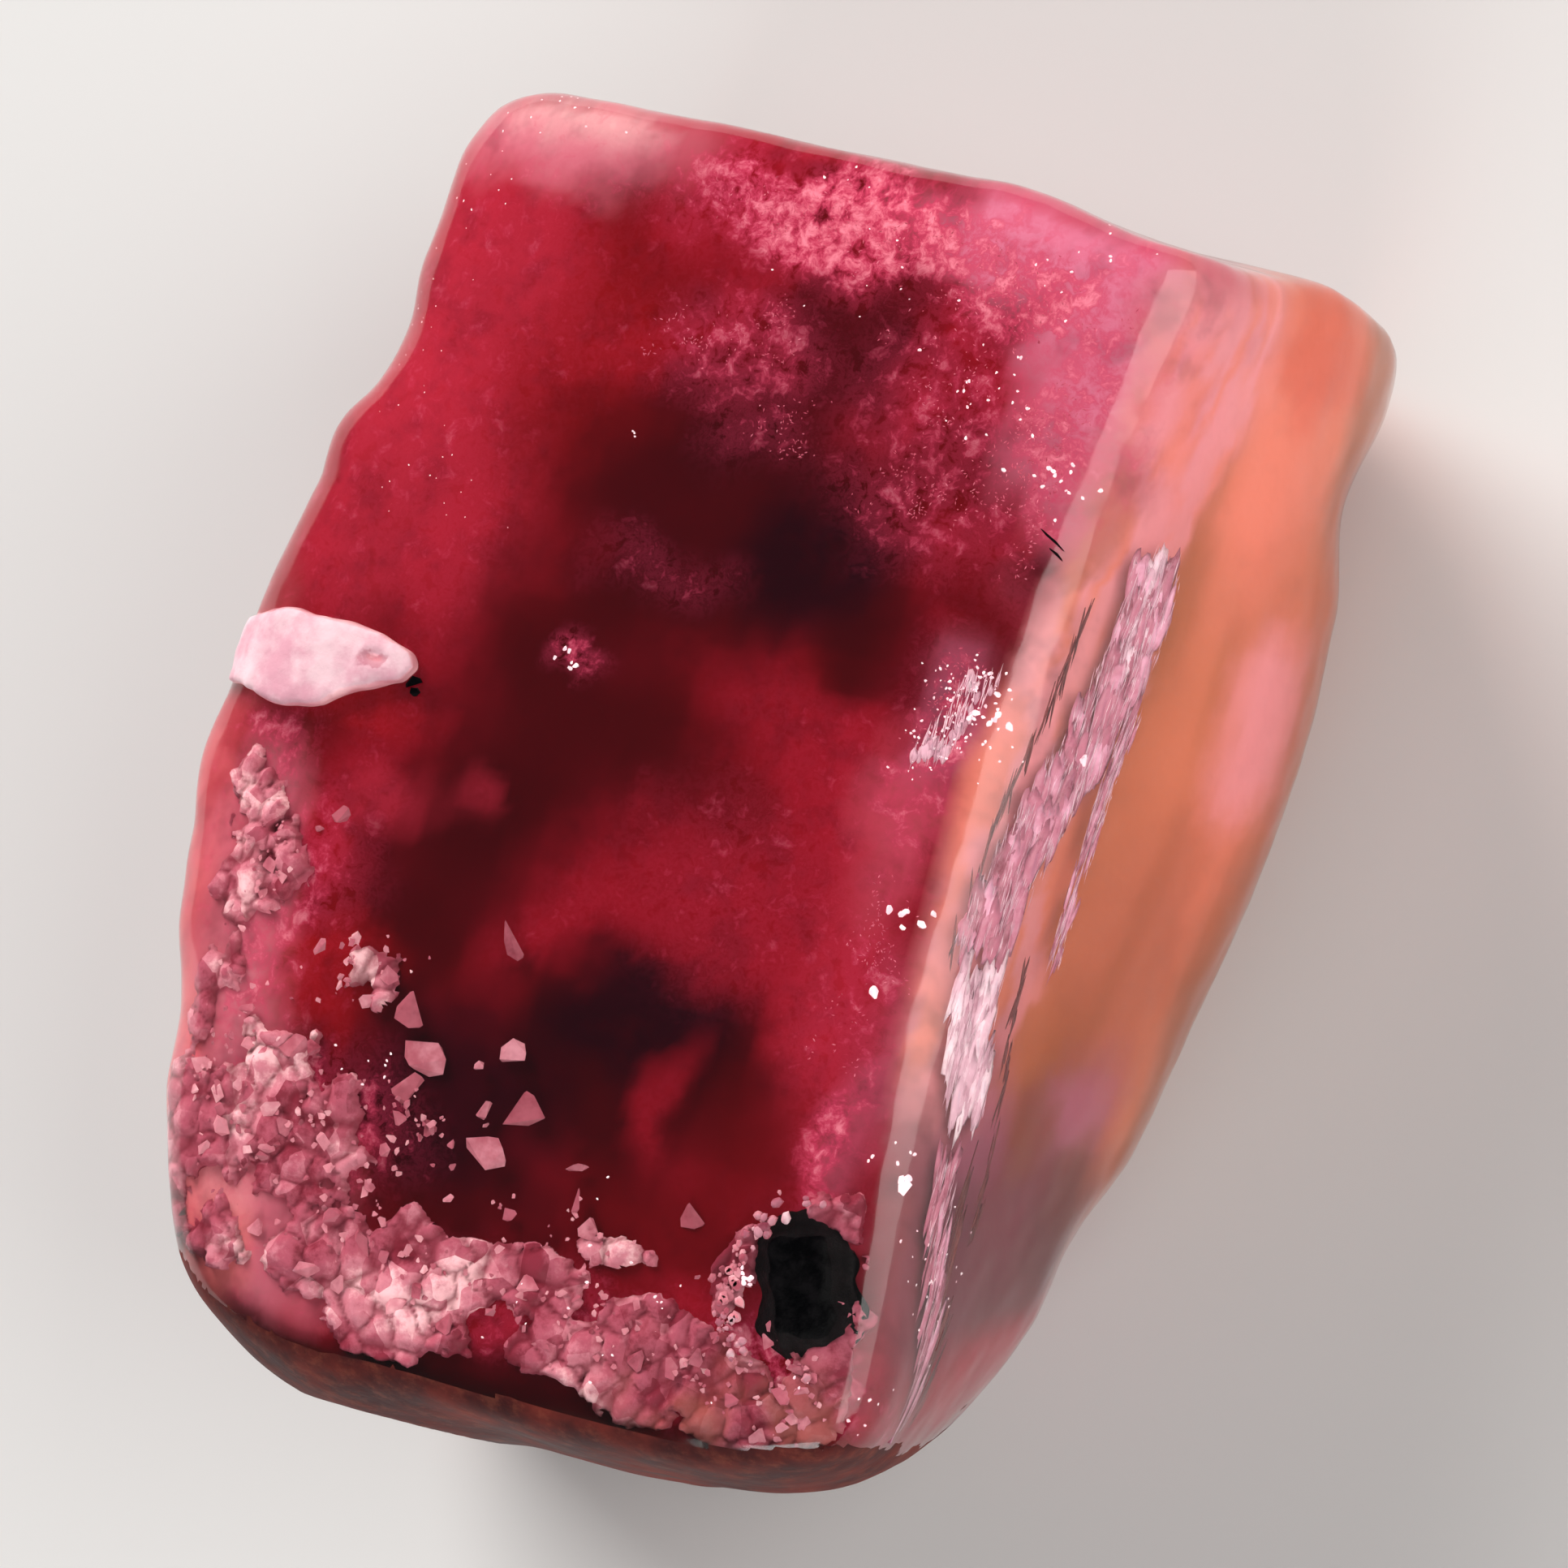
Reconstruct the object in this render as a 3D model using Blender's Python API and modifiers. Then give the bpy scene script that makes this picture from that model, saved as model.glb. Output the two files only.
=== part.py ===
"""A red beryl crystal with the grains of other minerals that grew into it.

The crystal is a stubby, distorted six-sided prism. It lies along +Y on one broad
prism face, with the opposite face looking up. Its right flank (+X) leans out to a
low ridge, its left flank swells in the middle, and its lower end (-Y) is rounded.
Three other grains are set into the upper face, flush with it: a black bixbyite
crystal, a chip of white feldspar and a crust of pale matrix along the lower end.
Metres, +Z up, origin at the centre of the surface that the crystal lies on.
"""

from math import radians

import bpy
import bmesh
from mathutils import Matrix, Vector

MM = 0.001

# Driving dimensions of the whole crystal, in millimetres.
WIDTH = 9.1
LENGTH = 12.0
THICKNESS = 5.8

# The clearance between a grain and the pocket that it sits in.
GRAIN_GAP = 0.04

# Where the box that becomes the crystal is cut, as fractions from -1 to 1.
ACROSS_CUTS = (-0.78, -0.1, 0.8)
ALONG_CUTS = (-0.88, -0.58, -0.10, 0.32, 0.50, 0.93)
RIDGE_LEVEL = -0.55
SHOULDER_LEVEL = 0.62
ROUNDING_LEVELS = 2

# Outlines of that box seen from above, as (y, x) points in millimetres, at three
# heights: the foot, the ridge of the flanks, and the rim of the upper face.
FOOT_LEFT = ((-6.0, -2.6), (-3.5, -3.9), (0.0, -4.2), (6.0, -3.6))
FOOT_RIGHT = ((-6.0, 0.6), (-4.6, 1.9), (-2.5, 2.7), (1.0, 3.4), (6.0, 3.4))
RIDGE_LEFT = ((-6.0, -3.6), (-3.5, -4.6), (0.0, -4.9), (6.0, -4.2))
RIDGE_RIGHT = ((-6.0, 2.3), (-3.8, 3.4), (-2.5, 3.75), (0.3, 4.3), (1.9, 4.6), (3.5, 4.3), (6.0, 4.4))
RIM_LEFT = ((-6.0, -3.3), (-4.9, -3.95), (-3.4, -4.25), (-0.6, -4.75), (1.9, -4.4), (3.0, -3.9), (6.0, -3.6))
RIM_RIGHT = ((-6.0, 3.5), (-4.9, 3.5), (-2.5, 3.2), (0.0, 3.1), (2.5, 3.3), (6.0, 3.8))

# How far the two end faces stand back from the full length: across the crystal, as
# (across, millimetres), and from the foot at 0 to the rim at 1.
SOUTH_ACROSS = ((-1.0, 0.50), (-0.4, 0.0), (-0.1, 0.1), (0.8, 0.2), (1.0, 0.8))
SOUTH_UPWARDS = ((0.0, 0.30), (0.3, 0.0), (1.0, 0.40))
NORTH_ACROSS = ((-1.0, 0.0), (-0.78, -0.1), (-0.1, 0.0), (1.0, -0.05))
NORTH_UPWARDS = ((0.0, 0.35), (0.3, 0.0), (1.0, 0.06))

# How far the upper face falls away towards its edges.
RIM_DROOP = ((-1.0, 0.55), (-0.78, 0.12), (0.8, 0.0), (1.0, 0.12))

# The black bixbyite crystal: a cube stretched along the face, its edges cut off.
BIXBYITE_SIZE = Vector((1.04, 1.32, 0.90))
BIXBYITE_EDGE_CUT = 0.27
BIXBYITE_CENTRE = Vector((2.95, -3.90, 5.32))
BIXBYITE_TURN = radians(16)
BIXBYITE_LEAN = radians(4)

# The feldspar chip: a tapering splinter that comes in from the left edge.
CHIP_OUTLINE = (
    (-5.0, 0.66), (-4.1, 0.70), (-3.65, 0.84), (-3.1, 0.79), (-2.67, 0.78), (-2.33, 0.67),
    (-2.26, 0.56), (-2.36, 0.42), (-2.76, 0.28), (-3.1, 0.05), (-3.6, -0.02), (-4.1, 0.09), (-5.0, 0.12),
)
CHIP_FLOOR = 4.5

# The matrix crust: a ragged band along the lower end, widest at the left edge.
CRUST_OUTLINE = (
    (-5.0, -2.55), (-3.9, -2.70), (-3.5, -3.25), (-2.6, -3.45), (-2.1, -3.85), (-1.3, -3.75),
    (-0.7, -4.15), (0.2, -4.00), (0.9, -4.30), (1.6, -4.10), (2.0, -4.75), (2.7, -4.95),
    (3.3, -4.80), (5.0, -4.85), (5.0, -7.0), (-5.0, -7.0),
)
CRUST_FLOOR = 5.25
ABOVE_THE_FACE = 6.6

# What each piece is made of: colour, roughness and metallic value.
MINERALS = {
    "beryl_crystal": ((0.50, 0.02, 0.06), 0.12, 0.0),
    "bixbyite_crystal": ((0.010, 0.010, 0.012), 0.35, 0.6),
    "feldspar_chip": ((0.90, 0.62, 0.66), 0.45, 0.0),
    "matrix_crust": ((0.62, 0.30, 0.35), 0.60, 0.0),
}


def read(outline, place):
    """The outline's value at a place, straight between its points."""
    for (start, low), (end, high) in zip(outline, outline[1:]):
        if place <= end:
            return low + (high - low) * (place - start) / (end - start)
    return outline[-1][1]


def mix(low, high, share):
    return low + (high - low) * share


def crystal_point(across, along, up):
    """Where a corner of the two-unit box goes on the crystal."""
    height = (up + 1) / 2
    if along < 0:
        stands_back = read(SOUTH_ACROSS, across) + read(SOUTH_UPWARDS, height)
    else:
        stands_back = read(NORTH_ACROSS, across) + read(NORTH_UPWARDS, height)
    y = along * (LENGTH / 2 - stands_back * abs(along) ** 3)
    station = along * LENGTH / 2
    if up <= RIDGE_LEVEL:
        share = (up + 1) / (RIDGE_LEVEL + 1)
        left = mix(read(FOOT_LEFT, station), read(RIDGE_LEFT, station), share)
        right = mix(read(FOOT_RIGHT, station), read(RIDGE_RIGHT, station), share)
    else:
        share = (up - RIDGE_LEVEL) / (1 - RIDGE_LEVEL)
        left = mix(read(RIDGE_LEFT, station), read(RIM_LEFT, station), share)
        right = mix(read(RIDGE_RIGHT, station), read(RIM_RIGHT, station), share)
    x = mix(left, right, (across + 1) / 2)
    z = height * (THICKNESS - read(RIM_DROOP, across))
    return Vector((x, y, z)) * MM


def new_piece(name, mesh, collection):
    piece = bpy.data.objects.new(name, mesh)
    collection.objects.link(piece)
    return piece


def bake(piece):
    """Applies the modifiers of a piece."""
    evaluated = piece.evaluated_get(bpy.context.evaluated_depsgraph_get())
    baked = bpy.data.meshes.new_from_object(evaluated)
    piece.modifiers.clear()
    piece.data = baked


def stretch_to_size(mesh):
    """Rounding shrinks the cage a little, so the rounded body is stretched back to size."""
    for axis, size in enumerate((WIDTH, LENGTH, THICKNESS)):
        places = [vert.co[axis] for vert in mesh.vertices]
        lowest, highest = min(places), max(places)
        start = 0 if axis == 2 else -size * MM / 2
        for vert in mesh.vertices:
            vert.co[axis] = start + (vert.co[axis] - lowest) * size * MM / (highest - lowest)


def crystal_body(name, collection):
    """A box cut at its stations, moved onto the crystal's outlines and rounded."""
    bm = bmesh.new()
    bmesh.ops.create_cube(bm, size=2)
    for axis, cuts in enumerate((ACROSS_CUTS, ALONG_CUTS, (RIDGE_LEVEL, SHOULDER_LEVEL))):
        normal = Vector((0, 0, 0))
        normal[axis] = 1
        for cut in cuts:
            whole = bm.verts[:] + bm.edges[:] + bm.faces[:]
            bmesh.ops.bisect_plane(bm, geom=whole, dist=1e-6, plane_co=normal * cut, plane_no=normal)
    for vert in bm.verts:
        vert.co = crystal_point(*vert.co)
    cage = bpy.data.meshes.new(name)
    bm.to_mesh(cage)
    bm.free()
    body = new_piece(name, cage, collection)
    rounding = body.modifiers.new("Round the cage", "SUBSURF")
    rounding.levels = rounding.render_levels = ROUNDING_LEVELS
    bake(body)
    stretch_to_size(body.data)
    return body


def prism(name, outline, floor, spread, collection):
    """An upright prism on an outline, which may be spread outwards by a clearance."""
    curve = bpy.data.curves.new(name, "CURVE")
    curve.dimensions = "2D"
    curve.fill_mode = "BOTH"
    curve.extrude = (ABOVE_THE_FACE - floor + spread) / 2 * MM
    curve.offset = spread * MM
    spline = curve.splines.new("POLY")
    spline.points.add(len(outline) - 1)
    for point, (x, y) in zip(spline.points, outline):
        point.co = (x * MM, y * MM, 0, 1)
    spline.use_cyclic_u = True
    flat = new_piece(name + "_outline", curve, collection)
    mesh = bpy.data.meshes.new_from_object(flat.evaluated_get(bpy.context.evaluated_depsgraph_get()))
    bpy.data.objects.remove(flat)
    bm = bmesh.new()
    bm.from_mesh(mesh)
    bmesh.ops.remove_doubles(bm, verts=bm.verts, dist=1e-7)
    bmesh.ops.recalc_face_normals(bm, faces=bm.faces)
    bmesh.ops.translate(bm, verts=bm.verts, vec=(0, 0, (ABOVE_THE_FACE + floor - spread) / 2 * MM))
    bm.to_mesh(mesh)
    bm.free()
    return new_piece(name, mesh, collection)


def bixbyite(name, spread, collection):
    """A block with its edges cut off, which may be swollen by a clearance."""
    size = BIXBYITE_SIZE + Vector((2, 2, 2)) * spread
    bm = bmesh.new()
    bmesh.ops.create_cube(bm, size=1)
    bmesh.ops.scale(bm, verts=bm.verts, vec=size * MM)
    bmesh.ops.bevel(bm, geom=bm.edges[:], offset=BIXBYITE_EDGE_CUT * MM, segments=1, affect="EDGES")
    turned = Matrix.Rotation(BIXBYITE_LEAN, 4, "Y") @ Matrix.Rotation(BIXBYITE_TURN, 4, "Z")
    bmesh.ops.transform(bm, verts=bm.verts, matrix=Matrix.Translation(BIXBYITE_CENTRE * MM) @ turned)
    mesh = bpy.data.meshes.new(name)
    bm.to_mesh(mesh)
    bm.free()
    return new_piece(name, mesh, collection)


def combine(piece, operation, tool):
    boolean = piece.modifiers.new(operation.title(), "BOOLEAN")
    boolean.operation = operation
    boolean.object = tool
    bake(piece)


def hide_cutter(cutter):
    cutter.hide_render = True
    cutter.display_type = "WIRE"


def mineral(piece):
    """Gives a piece the plain material of its mineral."""
    colour, roughness, metallic = MINERALS[piece.name]
    material = bpy.data.materials.new(piece.name)
    material.use_nodes = True
    shader = material.node_tree.nodes["Principled BSDF"]
    shader.inputs["Base Color"].default_value = (*colour, 1)
    shader.inputs["Roughness"].default_value = roughness
    shader.inputs["Metallic"].default_value = metallic
    piece.data.materials.clear()
    piece.data.materials.append(material)
    piece.data.set_sharp_from_angle(angle=radians(35))


for old in list(bpy.data.objects):
    bpy.data.objects.remove(old)
pieces = bpy.data.collections.new("red_beryl_crystal")
cutters = bpy.data.collections.new("cutters")
for group in (pieces, cutters):
    bpy.context.scene.collection.children.link(group)

# The grains of chip and crust are what their prisms share with the whole body, so
# they end in the body's own surface. Their pockets are a clearance larger.
beryl = crystal_body("beryl_crystal", pieces)
inlays = []
pockets = []
for label, shape, lowest_point in (
    ("feldspar_chip", CHIP_OUTLINE, CHIP_FLOOR),
    ("matrix_crust", CRUST_OUTLINE, CRUST_FLOOR),
):
    inlay = prism(label, shape, lowest_point, 0, pieces)
    combine(inlay, "INTERSECT", beryl)
    inlays.append(inlay)
    pockets.append(prism(label + "_pocket", shape, lowest_point, GRAIN_GAP, cutters))
inlays.append(bixbyite("bixbyite_crystal", 0, pieces))
pockets.append(bixbyite("bixbyite_pocket", GRAIN_GAP, cutters))

for pocket in pockets:
    combine(beryl, "DIFFERENCE", pocket)
    hide_cutter(pocket)
for stone in [beryl] + inlays:
    mineral(stone)
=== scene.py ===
# %% [markdown]
# # A red beryl crystal, built as a lesson
#
# Red beryl grows in gas pockets of pale volcanic rock. This crystal is a stubby
# prism, twelve millimetres long, that lies on its back. It is glassy where it is
# clean and milky where it is full of tiny flaws, and it has other minerals in it:
# a black bixbyite crystal, a splinter of white feldspar and a crust of pale grains.
# The solids that carry all of this are already made and loaded as a fixed frame.
# This script makes only what the eye sees, one piece and one finish at a time.

# %% The frame, and the tools of this lesson
import random
from math import cos, pi, radians, sin, sqrt

import bmesh
import bpy
import numpy as np
from mathutils import Matrix, Vector, noise
from mathutils.bvhtree import BVHTree
from mathutils.kdtree import KDTree


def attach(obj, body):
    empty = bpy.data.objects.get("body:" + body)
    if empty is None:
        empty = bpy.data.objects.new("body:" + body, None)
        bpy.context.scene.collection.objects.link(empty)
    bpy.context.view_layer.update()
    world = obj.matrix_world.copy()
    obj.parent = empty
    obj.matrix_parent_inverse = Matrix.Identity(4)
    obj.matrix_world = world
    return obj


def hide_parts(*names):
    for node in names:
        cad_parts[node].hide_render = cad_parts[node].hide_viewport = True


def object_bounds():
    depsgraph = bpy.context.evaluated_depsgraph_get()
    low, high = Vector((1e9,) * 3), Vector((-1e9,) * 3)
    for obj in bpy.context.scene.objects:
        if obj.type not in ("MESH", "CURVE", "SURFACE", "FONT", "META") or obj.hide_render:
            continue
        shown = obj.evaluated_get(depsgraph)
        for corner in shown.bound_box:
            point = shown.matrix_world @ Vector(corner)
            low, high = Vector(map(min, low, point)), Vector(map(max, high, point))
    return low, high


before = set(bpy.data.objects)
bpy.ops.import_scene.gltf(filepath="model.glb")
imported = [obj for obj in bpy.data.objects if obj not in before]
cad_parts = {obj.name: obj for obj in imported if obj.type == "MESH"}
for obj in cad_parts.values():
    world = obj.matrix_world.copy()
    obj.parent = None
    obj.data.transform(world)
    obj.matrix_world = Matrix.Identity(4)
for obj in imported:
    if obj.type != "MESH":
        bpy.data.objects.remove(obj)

NOISE_SEED = 2           # unseeded noise would start from the clock, and move the colours
noise.seed_set(NOISE_SEED)

MM = 0.001
cad_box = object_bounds()
print("CAD box, mm:", [[round(value / MM, 2) for value in corner] for corner in cad_box])

# %% [markdown]
# ## Writing shader maths as Python
#
# A material node graph is a sum of small steps. Drawn by hand it is quick to look
# at and slow to write, so this lesson wraps a socket in a small class: `mask * 2`
# adds a Multiply node, and `1 - mask` adds a Subtract node. Colours and vectors
# have three parts, so they go through Mix and Vector Math nodes instead, because a
# plain Math node would turn a colour grey.

# %% A wrapped socket
class Value:
    """An output socket that can be added, multiplied and compared."""

    def __init__(self, graph, socket):
        self.graph = graph
        self.socket = socket

    def maths(self, operation, *others, first=None):
        start = [self] if first is None else [first, self]
        return self.graph.node("ShaderNodeMath", dict(operation=operation), *start, *others)

    def __add__(self, other):
        return self.maths("ADD", other)

    __radd__ = __add__

    def __sub__(self, other):
        return self.maths("SUBTRACT", other)

    def __rsub__(self, other):
        return self.maths("SUBTRACT", first=other)

    def __mul__(self, other):
        return self.maths("MULTIPLY", other)

    __rmul__ = __mul__

    def least(self, other):
        return self.maths("MINIMUM", other)

    def most(self, other):
        return self.maths("MAXIMUM", other)

    def step(self, low, high):
        """0 below low and 1 above high, with a soft rise between."""
        settings = dict(interpolation_type="SMOOTHSTEP")
        return self.graph.node("ShaderNodeMapRange", settings, self, low, high, 0.0, 1.0)


# %% A material's graph
class Graph:
    """The node tree of one material."""

    def __init__(self, name):
        self.material = bpy.data.materials.new(name)
        self.material.use_nodes = True
        self.tree = self.material.node_tree
        self.tree.nodes.clear()
        self.output = self.tree.nodes.new("ShaderNodeOutputMaterial")
        place = self.node("ShaderNodeTexCoord", {}, out="Object")
        self.place = self.vector("SCALE", place, scale=1 / MM)
        self.x, self.y, self.z = self.parts(self.place)

    def node(self, kind, settings, *values, out=0, **named):
        """Adds a node. Its settings come first, then its sockets in order or by name."""
        node = self.tree.nodes.new(kind)
        for name, value in settings.items():
            setattr(node, name, value)
        for key, value in [*enumerate(values), *named.items()]:
            if isinstance(key, str):
                key = key.replace("_", " ")
            socket = node.inputs[key]
            if isinstance(value, Value):
                self.tree.links.new(value.socket, socket)
            elif value is not None:
                socket.default_value = value
        return Value(self, node.outputs[out])

    def vector(self, operation, *values, scale=None, out=0):
        node = self.node("ShaderNodeVectorMath", dict(operation=operation), *values, out=out)
        if scale is not None:
            node.socket.node.inputs["Scale"].default_value = scale
        return node

    def parts(self, vector):
        split = self.node("ShaderNodeSeparateXYZ", {}, vector).socket.node
        return [Value(self, socket) for socket in split.outputs]

    def blend(self, share, under, over):
        """One colour over another, by a share from 0 to 1."""
        between = [None] * 5        # sockets of the Mix node that are for numbers and vectors
        colours = [value if isinstance(value, Value) else (*value, 1) for value in (under, over)]
        return self.node("ShaderNodeMix", dict(data_type="RGBA"), share, *between, *colours, out=2)

    def grain(self, scale, detail=3, roughness=0.55, at=None, out=0):
        """Noise with so many swells to the millimetre."""
        return self.node(
            "ShaderNodeTexNoise", dict(noise_dimensions="3D"), Vector=at or self.place, Scale=scale,
            Detail=detail, Roughness=roughness, out=out,
        )

    def bump(self, height, strength, depth):
        """Unevenness that only the light sees. Its depth is in millimetres."""
        return self.node("ShaderNodeBump", {}, Strength=strength, Distance=depth * MM, Height=height)

    def finish(self, shader, socket="Surface"):
        self.tree.links.new(shader.socket, self.output.inputs[socket])

    def paint(self, **sockets):
        """Finishes the surface with a Principled shader."""
        self.finish(self.node("ShaderNodeBsdfPrincipled", {}, **sockets))


print("shader tools ready")

# %% [markdown]
# ## The camera
#
# A crystal this small is looked at through a long macro lens, which keeps its
# sides nearly parallel. The camera looks down on the crystal from its right, so
# that the upper face and the right flank both show, and is turned a little about
# its own axis, so that the crystal leans.

# %% The camera
LOOKED_AT = Vector((0.34, 0.45, 3.0)) * MM
CAMERA_DISTANCE = 75 * MM
FRAME_WIDTH = 14.29 * MM
TO_THE_RIGHT = radians(24.06)
TO_THE_FRONT = radians(2.86)
ROLL = radians(14.6)
SENSOR = 36.0

camera_data = bpy.data.cameras.new("macro_camera")
camera_data.sensor_width = SENSOR
camera_data.sensor_fit = "HORIZONTAL"
camera_data.lens = SENSOR * CAMERA_DISTANCE / FRAME_WIDTH
camera_data.clip_start = 1 * MM
camera_data.clip_end = 2.0
camera = bpy.data.objects.new("macro_camera", camera_data)
bpy.context.scene.collection.objects.link(camera)
bpy.context.scene.camera = camera

towards = Vector((
    sin(TO_THE_RIGHT) * cos(TO_THE_FRONT), -sin(TO_THE_FRONT), cos(TO_THE_RIGHT) * cos(TO_THE_FRONT),
))
right = Vector((cos(TO_THE_RIGHT), 0, -sin(TO_THE_RIGHT)))
above = towards.cross(right)
turned_right = right * cos(ROLL) + above * sin(ROLL)
turned_above = above * cos(ROLL) - right * sin(ROLL)
camera.matrix_world = Matrix.Translation(LOOKED_AT + towards * CAMERA_DISTANCE) @ Matrix(
    (turned_right, turned_above, towards)
).transposed().to_4x4()
print("lens, mm:", round(camera_data.lens, 1))

# %% [markdown]
# ## A pale table and soft light
#
# The table is a plain pale sheet. The light comes from wide, soft lamps, because
# a glassy surface shows the shape of every lamp on it: small lamps make hard white
# dots, and wide ones make the calm sheen that tells the eye where the surface turns.
# The strongest lamp would be mirrored as a white sheet in the flat top, so it is
# hidden from mirrored and refracted rays, and the other two give the gloss.
# The room itself stays dim, since its reflection would wash out the dark stone.

# %% The table
TABLE_SIZE = 0.7
TABLE_GAP = 0.02 * MM    # so that the table and the crystal's back don't lie in one plane
bpy.ops.mesh.primitive_plane_add(size=TABLE_SIZE, location=(0, 0, -TABLE_GAP))
table = bpy.context.object
table.name = "table"
table_paint = Graph("pale_table")
shade = table_paint.grain(0.03, detail=2)
table_colour = table_paint.blend(shade, (0.72, 0.715, 0.705), (0.78, 0.775, 0.765))
table_paint.paint(Base_Color=table_colour, Roughness=0.7)
table.data.materials.append(table_paint.material)
print("table:", TABLE_SIZE, "m")


# %% The lamps
def lamp(name, place, size, power, colour=(1, 1, 1)):
    data = bpy.data.lights.new(name, "AREA")
    data.shape = "RECTANGLE"
    data.size, data.size_y = size
    data.energy = power
    data.color = colour
    light = bpy.data.objects.new(name, data)
    light.location = place
    light.rotation_euler = (LOOKED_AT - light.location).to_track_quat("-Z", "Y").to_euler()
    bpy.context.scene.collection.objects.link(light)
    return light


key = lamp("key_softbox", Vector((-0.185, 0.158, 0.125)), (0.18, 0.18), 1.08, (1.0, 0.98, 0.96))
key.visible_glossy = key.visible_transmission = False
lamp("right_softbox", Vector((0.22, 0.05, 0.11)), (0.2, 0.3), 0.5, (1.0, 0.97, 0.94))
lamp("front_fill", Vector((0.02, -0.24, 0.16)), (0.18, 0.12), 0.32)

ROOM_LIGHT = 0.1
world = bpy.data.worlds.new("soft_room")
world.use_nodes = True
room = world.node_tree.nodes["Background"].inputs
room["Color"].default_value = (0.97, 0.98, 1.0, 1)
room["Strength"].default_value = ROOM_LIGHT
bpy.context.scene.world = world
bpy.context.scene.view_settings.view_transform = "Standard"
paths = bpy.context.scene.cycles
paths.max_bounces, paths.transmission_bounces = 7, 6
paths.diffuse_bounces, paths.glossy_bounces = 2, 3

# %% [markdown]
# ## The crystal's skin
#
# The loaded solids are faceted, and the grains sit in pockets. Glass shows every
# facet, so the crystal needs one fine, smooth skin. The solids are welded and
# swollen until they touch, a voxel remesh turns them into one even net, and a
# smoothing pass melts the facets away.

# %% One even net over all the solids
WELD = 0.001 * MM
SWELL = 0.03 * MM
SKIN_NET, SKIN_ROUNDS = 0.075, 40

pieces = []


def new_piece(name, mesh, material=None):
    thing = bpy.data.objects.new(name, mesh)
    pieces.append(thing)
    bpy.context.scene.collection.objects.link(thing)
    if material:
        mesh.materials.append(material)
    return thing


def shade_smooth(mesh, smooth=True):
    for face in mesh.polygons:
        face.use_smooth = smooth


def even_out(thing, net_size, rounds):
    """Remakes a piece as one even net, its size in millimetres, and smooths it."""
    net = thing.modifiers.new("Net", "REMESH")
    net.mode = "VOXEL"
    net.voxel_size = net_size * MM
    relax = thing.modifiers.new("Relax", "SMOOTH")
    relax.iterations = rounds
    evaluated = thing.evaluated_get(bpy.context.evaluated_depsgraph_get())
    mesh = bpy.data.meshes.new_from_object(evaluated)
    thing.modifiers.clear()
    thing.data = mesh
    shade_smooth(mesh)


def places_of(mesh):
    """The points of a mesh in millimetres, one to a row."""
    places = np.empty(len(mesh.vertices) * 3)
    mesh.vertices.foreach_get("co", places)
    return places.reshape(-1, 3) / MM


def whole_crystal(name):
    bm = bmesh.new()
    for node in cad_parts.values():
        bm.from_mesh(node.data)
    bmesh.ops.remove_doubles(bm, verts=bm.verts, dist=WELD)
    bm.normal_update()
    for vert in bm.verts:
        vert.co += vert.normal * SWELL
    mesh = bpy.data.meshes.new(name)
    bm.to_mesh(mesh)
    bm.free()
    skin = new_piece(name, mesh)
    even_out(skin, SKIN_NET, SKIN_ROUNDS)
    return skin


crystal = whole_crystal("crystal_skin")
print("skin faces:", len(crystal.data.polygons))

# %% Ripples of growth
def ripple(point):
    """How far the surface stands out at a place, in millimetres."""
    wide = noise.noise(point * 0.9) * 0.035
    fine = noise.noise(point * 3.1 + Vector((7, 0, 0))) * 0.008
    return wide + fine


PUSHES = (
    # centre, reach along x, y and z, how far and which way
    ((-1.8, -5.8, 4.1), (1.9, 1.5, 2.2), (-0.03, -0.34, 0)),
    ((2.0, -5.9, 2.2), (1.5, 1.5, 2.0), (0, 0.18, 0)),
    ((3.9, 6.0, 5.0), (2.0, 1.6, 2.2), (0, -0.27, 0)),
    ((-3.4, 5.9, 5.1), (1.0, 0.8, 1.6), (0.12, -0.1, 0)),
    ((-3.65, 3.5, 5.0), (0.9, 0.8, 1.6), (0.13, 0, 0)),
    ((-3.85, 2.55, 5.1), (0.8, 0.5, 1.4), (-0.1, 0, 0)),
    ((-4.05, -2.9, 5.2), (0.9, 0.8, 1.4), (0.12, 0, 0)),
    ((-4.35, -0.6, 5.2), (0.8, 0.7, 1.4), (-0.07, 0, 0)),
    ((4.45, 4.2, 1.0), (1.6, 1.0, 1.6), (-0.18, 0, 0)),
    ((3.6, -2.95, 1.1), (1.4, 0.9, 1.4), (-0.11, 0, 0)),
)
normals = [vert.normal.copy() for vert in crystal.data.vertices]
lowest, highest = (Vector(corner) for corner in cad_box)
for vert, normal in zip(crystal.data.vertices, normals):
    place = vert.co + normal * (ripple(vert.co / MM) * MM - SWELL)
    for centre, reach, push in PUSHES:
        away = sum(((vert.co[axis] / MM - centre[axis]) / reach[axis]) ** 2 for axis in range(3))
        place += Vector(push) * MM * max(0, 1 - away) ** 2
    vert.co = [min(max(place[axis], lowest[axis]), highest[axis]) for axis in range(3)]
skin_places = places_of(crystal.data)
print("skin box, mm:", skin_places.min(axis=0).round(2), skin_places.max(axis=0).round(2))

# %% [markdown]
# ## Finding a place on the skin
#
# Everything that is sealed in the crystal or sits on it is placed by millimetres.
# A tree of the skin's faces gives the nearest point and the way the skin faces
# there, so that a grain lies flat on the surface from whatever side it is seen.

# %% The nearest skin
skin_tree = BVHTree.FromPolygons(
    [vert.co / MM for vert in crystal.data.vertices],
    [face.vertices[:] for face in crystal.data.polygons],
)


def on_skin(x, y, z):
    """The nearest place on the skin, in millimetres, and the way it faces."""
    place, normal, _, _ = skin_tree.find_nearest(Vector((x, y, z)))
    return place, normal


print("skin over the middle:", [round(value, 2) for value in on_skin(0, 0, 6)[0]])

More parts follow.
